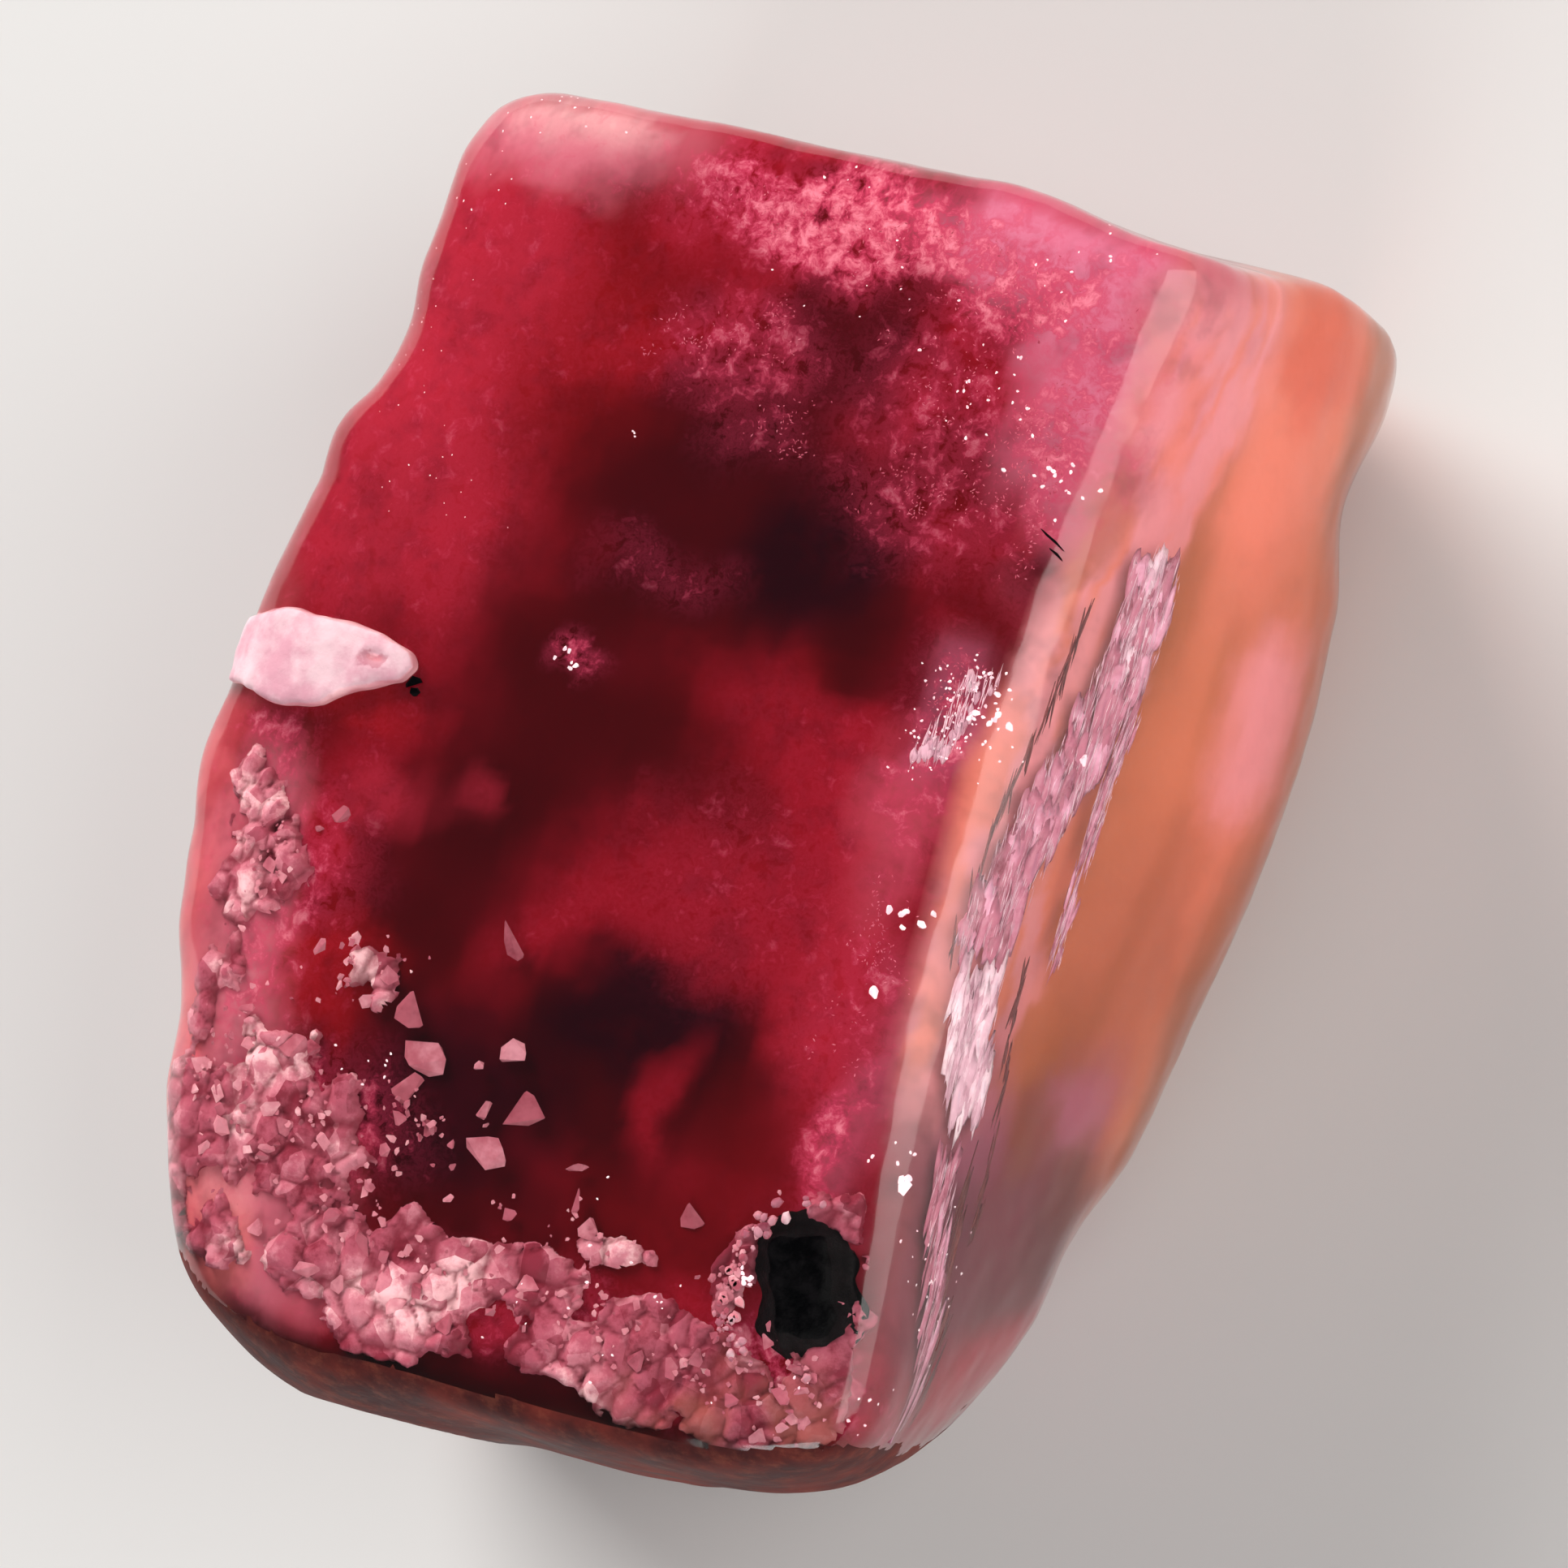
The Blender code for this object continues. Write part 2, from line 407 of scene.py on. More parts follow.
# %% [markdown]
# ## The colours of the stone
#
# A screen shows colours on a curve, while a shader adds up real light. Each colour
# is written as it looks on a screen and changed once to linear light.

# %% Colours in linear light
def linear(*screen):
    """A screen colour from 0 to 255 as the light that a shader works in."""
    share = np.array(screen) / 255
    return np.where(share <= 0.04045, share / 12.92, ((share + 0.055) / 1.055) ** 2.4)


DEEP_RED = linear(112, 6, 18)
CRIMSON = linear(158, 18, 38)
SCARLET = linear(168, 16, 26)
MAROON = linear(60, 0, 8)
PURPLE_BLACK = linear(36, 0, 14)
ROSE = linear(200, 46, 70)
VEIL_PINK = linear(196, 64, 102)
# A painted highlight: the pale blush laid on the top-left corner, where the lamp would gleam.
PAINTED_CORNER_HIGHLIGHT = linear(255, 206, 210)
PALE_ROSE = linear(240, 150, 172)
SALMON = linear(240, 140, 132)
PALE_SALMON = linear(248, 168, 176)
LILAC = linear(186, 110, 140)
ROSE_MIST = linear(214, 100, 124)
PALE_LILAC = linear(244, 150, 186)
MAUVE_GREY = linear(140, 88, 104)
ORANGE = linear(222, 134, 96)
PEACH = linear(248, 148, 122)
AMBER = linear(184, 108, 62)
RED_ORANGE = linear(226, 100, 66)
OLIVE_BROWN = linear(112, 64, 44)
PLUM = linear(96, 44, 56)
PLUM_MAUVE = linear(128, 66, 80)
UMBER = linear(92, 44, 40)
RUST = linear(120, 58, 36)
# Painted rim light: the pale salmon of light shining through the thin left edge.
PAINTED_RIM_LIGHT = linear(232, 120, 128)
BROWN = linear(140, 76, 54)
print("crimson in linear light:", CRIMSON.round(3))

# %% [markdown]
# ## The milky heart
#
# The inside of the crystal is turbid: countless tiny flaws scatter the light, and
# between them it is so deep a red that it looks black. This cloud is made as a body
# a little inside the skin, deeper on the right, where the crystal is clearest. It is
# the skin's own shape drawn in, so that the two never cross.

# %% A body a little inside the skin
HEART_NET, HEART_ROUNDS = 0.09, 8
MIDDLE = np.array((0, 0, 2.9))


def rise(value, low, high):
    """0 below low and 1 above high, with a soft rise between."""
    share = np.clip((value - low) / (high - low), 0, 1)
    return share * share * (3 - 2 * share)


def heart_places(places):
    """Where points of the skin go in the heart, in millimetres."""
    x, y, z = places.T
    right_depth = 0.12 + 0.26 * (1 - rise(z, 3.8, 5.5)) * rise(y, -5.5, -3)
    inner_x = x - right_depth * rise(x, -1, 4) + 0.14 * rise(-x, 1, 4)
    inner_y = y + 0.02 - 0.11 * rise(y, 0, 6)
    inner = np.stack((inner_x, inner_y, 0.1 + z * 0.955), 1)
    swell = [
        noise.noise(Vector(place) * 0.7) * 0.06 + noise.noise(Vector(place) * 2.3) * 0.02 for place in places
    ]
    inwards = MIDDLE - inner
    inwards /= np.linalg.norm(inwards, axis=1)[:, None]
    return inner + inwards * (0.04 + np.array(swell)[:, None])


drawn_in = heart_places(skin_places)
heart = new_piece("milky_heart", crystal.data.copy())
heart.data.vertices.foreach_set("co", (drawn_in * MM).ravel())
even_out(heart, HEART_NET, HEART_ROUNDS)
print("heart faces:", len(heart.data.polygons))

# %% [markdown]
# ## Colour by place
#
# Nothing here is a picture wrapped on the crystal. A colour is laid where it
# belongs by its place in millimetres, as soft spots whose edges are ruffled by
# noise. There are many spots, and a shader would work them out anew for each ray,
# so their sum is written once to the points of the heart. The shader then adds the
# fine grain, which is smaller than the distance between points.

# %% Where the colours of the red face lie
TOP = 5.6                # where a spot lies if it names no height
FACE_DEPTH = 2.0         # how deep it goes if it names no depth
FACE_SPOTS = (
    # centre, radii, softness, strength, colour
    ((-2.9, 4.3), (1.2, 1.7), 0.6, 0.75, ROSE), ((-2.3, 5.7), (1.3, 0.5), 0.6, 0.85, PALE_ROSE),
    ((-3.3, 2.2), (0.7, 1.6), 0.6, 0.55, ROSE), ((-1.4, 3.6), (0.9, 1.5), 0.6, 0.55, SCARLET),
    ((-2.2, 2.0), (0.7, 1.0), 0.6, 0.35, ROSE), ((0.4, 2.5), (1.9, 1.1), 0.45, 0.92, MAROON),
    ((1.1, 4.3), (0.8, 0.7), 0.5, 0.85, MAROON), ((0.2, 3.5), (0.9, 0.5), 0.5, 0.7, MAROON),
    ((1.3, 2.2), (0.8, 0.6), 0.5, 0.9, PURPLE_BLACK), ((-0.7, 0.4), (1.5, 1.5), 0.55, 0.75, MAROON),
    ((-1.5, -1.2), (0.8, 1.1), 0.5, 0.8, MAROON), ((1.8, 0.7), (1.0, 0.45), 0.6, 0.7, CRIMSON),
    ((1.3, -1.1), (1.4, 0.9), 0.6, 0.75, CRIMSON), ((2.8, -1.2), (0.6, 2.2), 0.6, 0.45, ROSE),
    ((0.8, -2.5), (1.35, 1.0), 0.4, 0.95, MAROON), ((0.7, -2.1), (0.9, 0.5), 0.5, 0.9, PURPLE_BLACK),
    ((1.25, -2.75), (0.2, 0.55), 0.6, 0.7, CRIMSON), ((-0.2, -4.0), (1.2, 0.5), 0.5, 0.8, MAROON),
    ((2.3, 1.6), (0.55, 0.5), 0.5, 0.7, MAROON), ((2.8, 0.2), (0.38, 0.8), 0.6, 0.55, ROSE_MIST),
    ((-0.9, -3.1), (1.2, 0.8), 0.5, 0.92, PURPLE_BLACK), ((2.2, -3.2), (0.6, 0.7), 0.6, 0.6, DEEP_RED),
    ((-2.6, -2.2), (0.8, 0.5), 0.5, 0.8, SCARLET), ((-2.9, 0.1), (0.7, 0.25), 0.5, 0.7, SCARLET),
    ((-3.7, -1.3), (0.55, 0.9, 2.5), 0.5, 0.6, PALE_ROSE),
    ((-3.6, -3.2), (0.8, 1.4, 2.5), 0.5, 0.7, PALE_ROSE), ((-2.6, -4.6), (1.0, 0.8), 0.6, 0.6, PALE_ROSE),
    ((-3.2, -5.0), (0.6, 0.5), 0.5, 0.8, SALMON), ((-2.3, -0.7), (0.45, 0.35), 0.6, 0.5, ROSE),
    ((-1.48, -0.51), (0.22, 0.22), 0.7, 0.35, ROSE), ((3.6, -3.6, 4.9), (0.6, 1.2, 0.8), 0.6, 0.75, PLUM),
    ((3.0, 1.25), (0.3, 0.55), 0.6, 0.8, LILAC), ((3.55, 4.2), (0.45, 1.7), 0.6, 0.75, ROSE_MIST),
    ((2.7, 5.5), (1.2, 0.45), 0.6, 0.95, PALE_LILAC), ((3.2, -2.4), (0.3, 1.3), 0.6, 0.4, LILAC),
    ((3.42, 2.62), (0.2, 0.32), 0.6, 0.8, MAROON),
    ((0.3, -5.5, 5.2), (1.9, 0.42, 1.2), 0.4, 0.92, MAROON),
    # The second spot on the next line is a painted highlight on the top-left corner.
    ((3.45, 4.6), (0.5, 1.3), 0.6, 0.8, PALE_LILAC), ((-2.3, 5.85), (0.9, 0.28), 0.6, 0.85, PAINTED_CORNER_HIGHLIGHT),
    ((-3.1, -4.5), (0.5, 0.45), 0.5, 0.7, PALE_SALMON),
)
VEIL_SPOTS = (
    # centre, radii, softness, strength
    ((0.9, 5.4), (1.9, 0.55), 0.6, 1.0), ((2.7, 5.1), (1.2, 0.5), 0.6, 0.85),
    ((0.1, 4.1), (0.9, 0.55), 0.6, 0.62), ((0.5, 3.3), (0.6, 0.35), 0.6, 0.45),
    ((2.4, 4.0), (1.1, 0.9), 0.6, 0.58), ((2.3, 3.0), (1.1, 0.6), 0.6, 0.55),
    ((3.5, 4.1), (0.55, 1.8), 0.6, 0.75), ((-0.2, 1.95), (0.7, 0.25), 0.6, 0.35),
    ((1.6, -0.7), (1.2, 1.0), 0.6, 0.3), ((2.9, 0.6), (0.4, 1.2), 0.6, 0.6),
    ((2.9, -1.4), (0.5, 1.0), 0.6, 0.5), ((-3.0, -1.4), (0.8, 0.7), 0.6, 0.6),
    ((-2.3, -3.6), (1.1, 0.7), 0.6, 0.75), ((0.5, -4.8), (2.6, 0.4), 0.5, 0.5),
    ((2.9, -4.8), (0.9, 0.6), 0.5, 0.8), ((-0.7, 0.95), (0.3, 0.25), 0.6, 0.75),
    ((-3.7, -0.5), (0.5, 0.7), 0.6, 0.6), ((-3.2, -2.4), (0.6, 0.8), 0.6, 0.65),
    ((3.0, 1.2), (0.3, 0.55), 0.6, 0.85), ((3.0, -2.9), (0.35, 1.0), 0.6, 0.8),
)
VEIL_GAPS = (((3.45, 2.68), (0.2, 0.35)), ((0.2, 2.9), (0.6, 0.3)), ((1.1, 2.5), (0.7, 0.4)))
print("spots on the red face:", len(FACE_SPOTS) + len(VEIL_SPOTS))

# %% Where the colours of the flank lie
FLANK_EDGE = (
    # y and x of the line where the flank begins
    (-6.0, 3.9), (-4.5, 3.7), (-2.79, 3.4), (-1.65, 3.28), (0.82, 3.22), (2.88, 3.6), (5.57, 3.98),
)
FROST_LINE = (
    # y and z of the line above which it is frosted
    (-6.0, 5.0), (-4.0, 4.5), (-2.0, 4.45), (-0.7, 4.2), (1.7, 4.2), (3.4, 4.0), (4.9, 3.9), (5.8, 4.0),
)
FLANK_SPOTS = (
    ((4.1, 5.1, 4.4), (1.2, 0.9, 0.8), 0.6, 0.95, PALE_SALMON),
    ((4.4, 4.4, 3.0), (1.2, 1.3, 0.9), 0.6, 0.85, PEACH),
    ((4.5, 1.8, 2.0), (1.2, 1.6, 0.8), 0.7, 0.55, PEACH),
    ((4.0, 1.5, 4.0), (1.2, 2.0, 0.6), 0.7, 0.4, AMBER),
    ((4.0, -1.7, 2.6), (1.2, 0.5, 0.6), 0.6, 0.55, LILAC),
    ((3.9, -2.6, 3.2), (1.2, 0.9, 0.8), 0.6, 0.85, OLIVE_BROWN),
    ((3.7, -3.9, 2.8), (1.4, 0.7, 0.9), 0.6, 0.55, LILAC),
    ((3.7, -3.7, 4.4), (1.4, 1.2, 0.6), 0.6, 0.8, PLUM),
    ((3.7, -5.0, 3.6), (1.6, 0.7, 1.6), 0.6, 0.6, AMBER),
    ((4.1, 4.6, 5.0), (0.8, 1.9, 0.8), 0.6, 0.9, PALE_ROSE),
    ((3.5, 0.5, 5.5), (0.6, 2.3, 0.4), 0.6, 0.95, PALE_SALMON),
    ((4.5, 2.0, 2.0), (0.8, 0.8, 0.8), 0.6, 0.95, PALE_SALMON),
    ((4.1, -0.7, 2.9), (1.2, 1.5, 1.2), 0.6, 0.42, BROWN),
    ((3.6, -3.5, 4.9), (0.8, 1.3, 0.6), 0.6, 0.85, PLUM),
    ((3.6, -4.3, 3.6), (1.0, 1.1, 1.2), 0.6, 0.7, MAUVE_GREY),
    ((4.4, 5.5, 2.8), (1.0, 0.6, 0.9), 0.6, 0.7, RED_ORANGE),
)
FLANK_OVER = (
    ((3.6, -4.0, 4.0), (1.3, 2.0, 3.6), 0.3, 0.92, PLUM_MAUVE),
    ((3.9, -3.0, 2.1), (0.9, 0.9, 0.7), 0.6, 0.65, UMBER),
    ((3.7, -2.2, 4.6), (0.8, 0.8, 0.5), 0.6, 0.6, LILAC),
    ((3.3, -4.9, 3.4), (1.0, 0.7, 1.2), 0.6, 0.5, LILAC),
    ((3.9, -1.9, 2.8), (0.9, 0.35, 0.7), 0.6, 0.7, LILAC),
    ((3.7, 3.3, 5.4), (0.25, 0.9, 0.35), 0.6, 0.5, BROWN),
    ((3.9, -2.1, 3.6), (0.9, 0.4, 0.4), 0.6, 0.6, BROWN),
    ((3.7, -4.0, 3.2), (0.8, 0.7, 0.7), 0.6, 0.5, UMBER),
)
FOOT_SPOTS = (
    ((-0.4, -5.7, 4.2), (3.4, 1.5, 1.7), 0.4, 1.0, PURPLE_BLACK),
    ((2.6, -5.6, 4.2), (1.0, 1.5, 1.0), 0.6, 0.6, PLUM),
)
print("spots on the flank and the foot:", len(FLANK_SPOTS + FLANK_OVER + FOOT_SPOTS))

# %% How spots are laid
def toned(under, share, over):
    """A colour with a share of another laid over it."""
    return under + share * (over - under)


def spot(places, centre, radii, soft):
    """1 in the middle of a ball that is squeezed to the radii, and 0 outside it."""
    centre, radii = (*centre, TOP)[:3], (*radii, FACE_DEPTH)[:3]
    distance = np.linalg.norm((places - centre) / radii, axis=1, keepdims=True)
    return 1 - rise(distance, 1 - soft, 1 + soft)


def lay_spots(places, colours, spots):
    for centre, radii, soft, strength, shade in spots:
        colours = toned(colours, spot(places, centre, radii, soft) * strength, shade)
    return colours


def noise_at(places, measure=noise.noise):
    """Noise at each place, as a column."""
    return np.array([measure(Vector(place)) for place in places])[:, None]


def columns(rows):
    """The x, the y and the z of all rows, as three columns."""
    return rows.T[:, :, None]


print("middle of a spot:", spot(np.array([(0, 0, TOP)]), (0, 0), (1, 1), 0.5).item())

# %% Painting the heart
def skin_over(mesh):
    """The place on the skin over each point of the heart, and the way the skin faces there."""
    tree = KDTree(len(drawn_in))
    for number, place in enumerate(drawn_in):
        tree.insert(place, number)
    tree.balance()
    nearest = [tree.find(place)[1] for place in places_of(mesh)]
    facing = np.array([vert.normal for vert in crystal.data.vertices])
    return skin_places[nearest], facing[nearest]


def flank_colours(places, ragged):
    """Streaks of orange and amber, darker near the table and frosted near the edge."""
    _, ragged_y, ragged_z = columns(ragged)
    streaks = rise(noise_at(places * (1.6, 0.4, 1.6)), -0.4, 0.4)
    colours = lay_spots(ragged, toned(AMBER, streaks, ORANGE), FLANK_SPOTS)
    colours = toned(colours, rise(2.2 - columns(places)[2], 0.0, 2.0) * 0.7, AMBER * 0.7)
    frosted = rise(ragged_z - np.interp(ragged_y, *zip(*FROST_LINE)), -0.06, 0.1)
    combing = rise(noise_at(ragged * (1, 0.8, 5)), -0.2, 0.5)
    colours = toned(colours, frosted * 0.75, toned(PALE_SALMON, combing, PEACH))
    return lay_spots(ragged, colours, FLANK_OVER)


def veil_thickness(places):
    """How thick the pink veils are over the red face, from 0 to 1."""
    veils = np.max([spot(places, *ball) * strength for *ball, strength in VEIL_SPOTS], axis=0)
    for centre, radii in VEIL_GAPS:
        veils *= 1 - 0.8 * spot(places, centre, radii, 0.6)
    return veils


def heart_colours(mesh):
    """The colour of each point, and in the fourth part how thick the veils are there."""
    places, facing = skin_over(mesh)
    pushed = [
        noise.noise_vector(Vector(place) * 1.3) * 0.28 + noise.noise_vector(Vector(place) * 4) * 0.1
        for place in places
    ]
    ragged = places + np.array(pushed)
    x, y, z = columns(places)
    out_x, out_y, out_z = columns(facing)

    mottle = rise(noise_at(places * 1.1), -0.35, 0.35)
    face = lay_spots(ragged, toned(DEEP_RED, mottle, CRIMSON), FACE_SPOTS)
    # Painted rim light: where the skin turns from the top to the sides, the face is laid paler rose, for
    # light shining through the thin edges.
    face = toned(face, rise(0.75 - out_z, 0.0, 0.5) * 0.55, ROSE)
    upper = rise(y, 2.6, 4.2)
    loose = toned(x, upper, columns(ragged)[0])
    on_flank = rise((loose - np.interp(y, *zip(*FLANK_EDGE))) / (1 + 2.5 * upper), -0.1, 0.12)
    colours = toned(face, on_flank, flank_colours(places, ragged))

    # Painted rim light on the left side, in mottled patches, on its lower half and brighter towards the foot
    # end.
    patches = rise(noise_at(places * 1.5, lambda place: noise.fractal(place, 0.7, 2.1, 4)), -0.35, 0.15)
    painted_rim_light = rise(-out_x, 0.25, 0.75) * (0.4 + 0.45 * patches)
    painted_rim_light *= rise(1.5 - y, 0, 1.5) * (0.2 + 0.8 * rise(z, 3.4, 4.8))
    colours = toned(colours, painted_rim_light, PAINTED_RIM_LIGHT * (1 + 0.25 * rise(-2 - y, 0, 2)))
    at_foot = rise(-out_y, 0.4, 0.8)
    colours = toned(colours, at_foot, lay_spots(ragged, RUST, FOOT_SPOTS))
    colours *= 0.74 + 0.14 * on_flank

    veils = np.maximum(veil_thickness(ragged), 0.3 * rise(colours[:, :1], 0.08, 0.35))
    veils *= (1 - on_flank * (1 - 0.6 * upper * rise(z, 4.9, 5.4))) * (1 - at_foot)
    return np.hstack((colours, veils))


stone = heart.data.color_attributes.new("stone", "FLOAT_COLOR", "POINT")
stone.data.foreach_set("color", heart_colours(heart.data).ravel())
print("painted points:", len(stone.data))

# %% The heart's finish
milk = Graph("milky_beryl")
painted = milk.node("ShaderNodeVertexColor", dict(layer_name="stone"))
veil_share = milk.node("ShaderNodeVertexColor", dict(layer_name="stone"), out="Alpha")
mottle = milk.grain(2.0, detail=3, roughness=0.62)
below = (5.3 - milk.z).step(0.0, 0.8)
darkest = milk.blend(0.3 - below * 0.24, painted, MAROON)
colour = milk.blend(mottle.step(0.3, 0.55), darkest, painted)
bent = milk.vector("ADD", milk.place, milk.vector("SCALE", milk.grain(5.0, detail=2, out=1), scale=0.22))
threads = milk.grain(4.4, detail=6, roughness=0.72, at=bent)
thickened = threads + veil_share * 0.22
veil = milk.blend(thickened.step(0.66, 0.86), VEIL_PINK, PALE_ROSE)
wisps = 1 - ((threads - 0.47).maths("ABSOLUTE") * 12).least(1.0)
clouds = thickened.step(0.55, 0.72)
colour = milk.blend(veil_share * clouds.most(wisps * 0.45), colour, veil)
milk.paint(
    Base_Color=colour, Roughness=mottle * 0.3 + 0.4, IOR=1.3, Specular_IOR_Level=0.0,
    Normal=milk.bump(mottle, 0.4, 0.05),
)
heart.data.materials.clear()
heart.data.materials.append(milk.material)
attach(heart, "root")

# %% [markdown]
# ## The clear skin
#
# Beryl bends light by 1.57 and drinks green and blue light, so a thin edge looks
# peach and a thick one red. That is a Principled shader with transmission, and an
# absorbing volume inside. Lamps are let through its shadow, so that they reach
# what is sealed in it. Only the foot, where the crystal broke off the rock, is
# matte and stained by iron, so its faces take a second material.

# %% Beryl
beryl = Graph("red_beryl")
wear = beryl.grain(2.2, detail=1)
clear = beryl.node(
    "ShaderNodeBsdfPrincipled", {}, Base_Color=(1, 0.96, 0.95, 1), Roughness=wear * 0.18 + 0.04, IOR=1.57,
    Transmission_Weight=1.0, Specular_IOR_Level=0.03, Normal=beryl.bump(wear, 0.2, 0.03),
)
shadow = beryl.node("ShaderNodeLightPath", {}, out="Is Shadow Ray")
lets_through = beryl.node("ShaderNodeBsdfTransparent", {}, Color=(1, 0.9, 0.88, 1))
beryl.finish(beryl.node("ShaderNodeMixShader", {}, shadow, clear, lets_through))
absorbing = beryl.node("ShaderNodeVolumeAbsorption", {}, Color=(0.98, 0.69, 0.66, 1), Density=450.0)
beryl.finish(absorbing, "Volume")
crystal.data.materials.append(beryl.material)

stain = Graph("stained_foot")
rust = stain.grain(1.6, detail=4, roughness=0.6)
low_rim = (4.6 - stain.z).step(0.0, 2.6) * 0.14
stain_colour = stain.blend((rust + low_rim).step(0.34, 0.78), linear(62, 16, 18), linear(122, 46, 38))
ochre = stain.grain(5.0, detail=4, roughness=0.7)
stain_colour = stain.blend(ochre.step(0.46, 0.72) * 0.28, stain_colour, linear(160, 84, 62))
toward_left = (0 - stain.x).step(2.2, 3.9)
stain_colour = stain.blend(toward_left * 0.6, stain_colour, linear(134, 46, 46))
stain.paint(
    Base_Color=stain_colour, Roughness=rust * 0.4 + 0.4, Specular_IOR_Level=0.15,
    Normal=stain.bump(rust, 0.5, 0.04),
)
crystal.data.materials.append(stain.material)
for face in crystal.data.polygons:
    ragged_line = -0.5 + 0.12 * noise.noise(face.center / MM * 1.4)
    face.material_index = int(face.normal.y < ragged_line and face.center.y < -4.6 * MM)
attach(crystal, "root")
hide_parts("beryl_crystal")

# %% [markdown]
# ## Many small grains
#
# Real rock is never one of a thing but hundreds. A pile keeps a few small shapes
# and lays turned, stretched copies of them where they belong, all joined in one
# mesh, because an export drops instances and particles.

# %% A pile of copies
class Pile:
    """Small copies of a few shapes, joined into one mesh."""

    def __init__(self, shapes):
        self.shapes = shapes
        self.points = []
        self.faces = []
        self.count = 0

    def lay(self, place, normal, sizes, turn=0.0, lean=0.0, heading=Vector((1, 0, 0))):
        """Lays the next shape flat on the surface, its length turned from the heading."""
        points, faces = self.shapes[self.count % len(self.shapes)]
        sideways = normal.cross(heading).normalized()
        upright = Matrix((sideways.cross(normal), sideways, normal)).transposed()
        turned = upright @ Matrix.Rotation(turn, 3, "Z") @ Matrix.Rotation(lean, 3, "Y")
        first = len(self.points)
        for point in points:
            stretched = Vector((point.x * sizes[0], point.y * sizes[1], point.z * sizes[2]))
            self.points.append((place + turned @ stretched) * MM)
        self.faces += [[first + corner for corner in face] for face in faces]
        self.count += 1

    def piece(self, name, graph, slot, *nodes, smooth=True):
        mesh = bpy.data.meshes.new(name)
        mesh.from_pydata(self.points, [], self.faces)
        shade_smooth(mesh, smooth)
        thing = new_piece(name, mesh, graph.material)
        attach(thing, "root")
        if nodes:
            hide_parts(*nodes)
        print(name + ":", self.count, "copies,", len(self.faces), "faces")
        return thing


def taken_apart(bm):
    """The points and faces of a small shape, for a pile."""
    bm.verts.index_update()
    points = [vert.co.copy() for vert in bm.verts]
    faces = [[vert.index for vert in face.verts] for face in bm.faces]
    bm.free()
    return points, faces


def lump(seed, unevenness):
    """A rounded grain with dents."""
    bm = bmesh.new()
    bmesh.ops.create_icosphere(bm, subdivisions=2, radius=1)
    for vert in bm.verts:
        vert.co *= 1 + unevenness * noise.noise(vert.co * 1.3 + Vector((seed * 3.7, 0, seed)))
    return taken_apart(bm)


def splinter(seed, corners=9):
    """An angular chip: the hull round a few stray points."""
    stray = random.Random(seed)
    bm = bmesh.new()
    for _ in range(corners):
        around = stray.uniform(0, 2 * pi)
        reach = stray.uniform(0.75, 1.0)
        bm.verts.new((cos(around) * reach, sin(around) * reach, stray.uniform(-1, 1)))
    bmesh.ops.convex_hull(bm, input=bm.verts)
    return taken_apart(bm)


def sliver():
    """A needle with four sides."""
    bm = bmesh.new()
    bmesh.ops.create_uvsphere(bm, u_segments=4, v_segments=2, radius=1)
    return taken_apart(bm)


print("a lump has", len(lump(1, 0.5)[0]), "points")

# %% [markdown]
# ## Pale minerals
#
# The grains are feldspar and quartz dust, and thin veils of tiny flaws. They are
# dull. Each grain takes its own tint by chance, and a fine mottling keeps the large
# ones from looking cast. Only the glint grains are glossy; they are painted
# highlights, nearly white and giving off a little light of their own.

# %% A finish for pale grains
def pale_finish(name, *tints, roughness=0.5, painted_glow=0.0):
    """Tints are screen colours from the darkest grain to the palest."""
    graph = Graph(name)
    chance = graph.node("ShaderNodeNewGeometry", {}, out="Random Per Island")
    cloudy = graph.grain(5.0, detail=3, roughness=0.65)
    level = chance * 0.6 + cloudy * 0.8 - 0.2
    colour = linear(*tints[0])
    steps = len(tints) - 1
    for number, tint in enumerate(tints[1:]):
        start = number / steps
        colour = graph.blend(level.step(start, start + 1 / steps), colour, linear(*tint))
    # Emission is painted light: a grain with emission shines though it is no lamp, and only the glint grains
    # have any.
    graph.paint(
        Base_Color=colour, Roughness=cloudy * 0.2 + (roughness - 0.1), Emission_Color=colour,
        Emission_Strength=painted_glow, Normal=graph.bump(graph.grain(12.5, detail=1), 0.5, 0.02),
    )
    return graph


crust_finish = pale_finish("crust_grains", (118, 40, 56), (176, 96, 114), (210, 142, 156), (248, 208, 214))
flake_finish = pale_finish("feldspar_flakes", (116, 38, 54), (170, 92, 108), (216, 154, 168))
veil_finish = pale_finish("flaw_dust", (150, 40, 66), (196, 84, 112), (232, 142, 166))
# Painted highlights: nearly white tints with emission stand in for glints of the lamp.
painted_spark_finish = pale_finish("painted_sparks", (255, 214, 226), (255, 246, 250), roughness=0.2, painted_glow=0.25)
print("pale finishes ready")

# %% [markdown]
# ## The crust at the foot
#
# Where the crystal grew on the rock, pale grains still cling to it. They have grown
# together into a ragged crust, so it is made like a landscape: a fine net hangs just
# under the skin, and rises out of the milky heart wherever a field of spots and
# noise is high enough. Cells of a Voronoi pattern give it its separate grains.

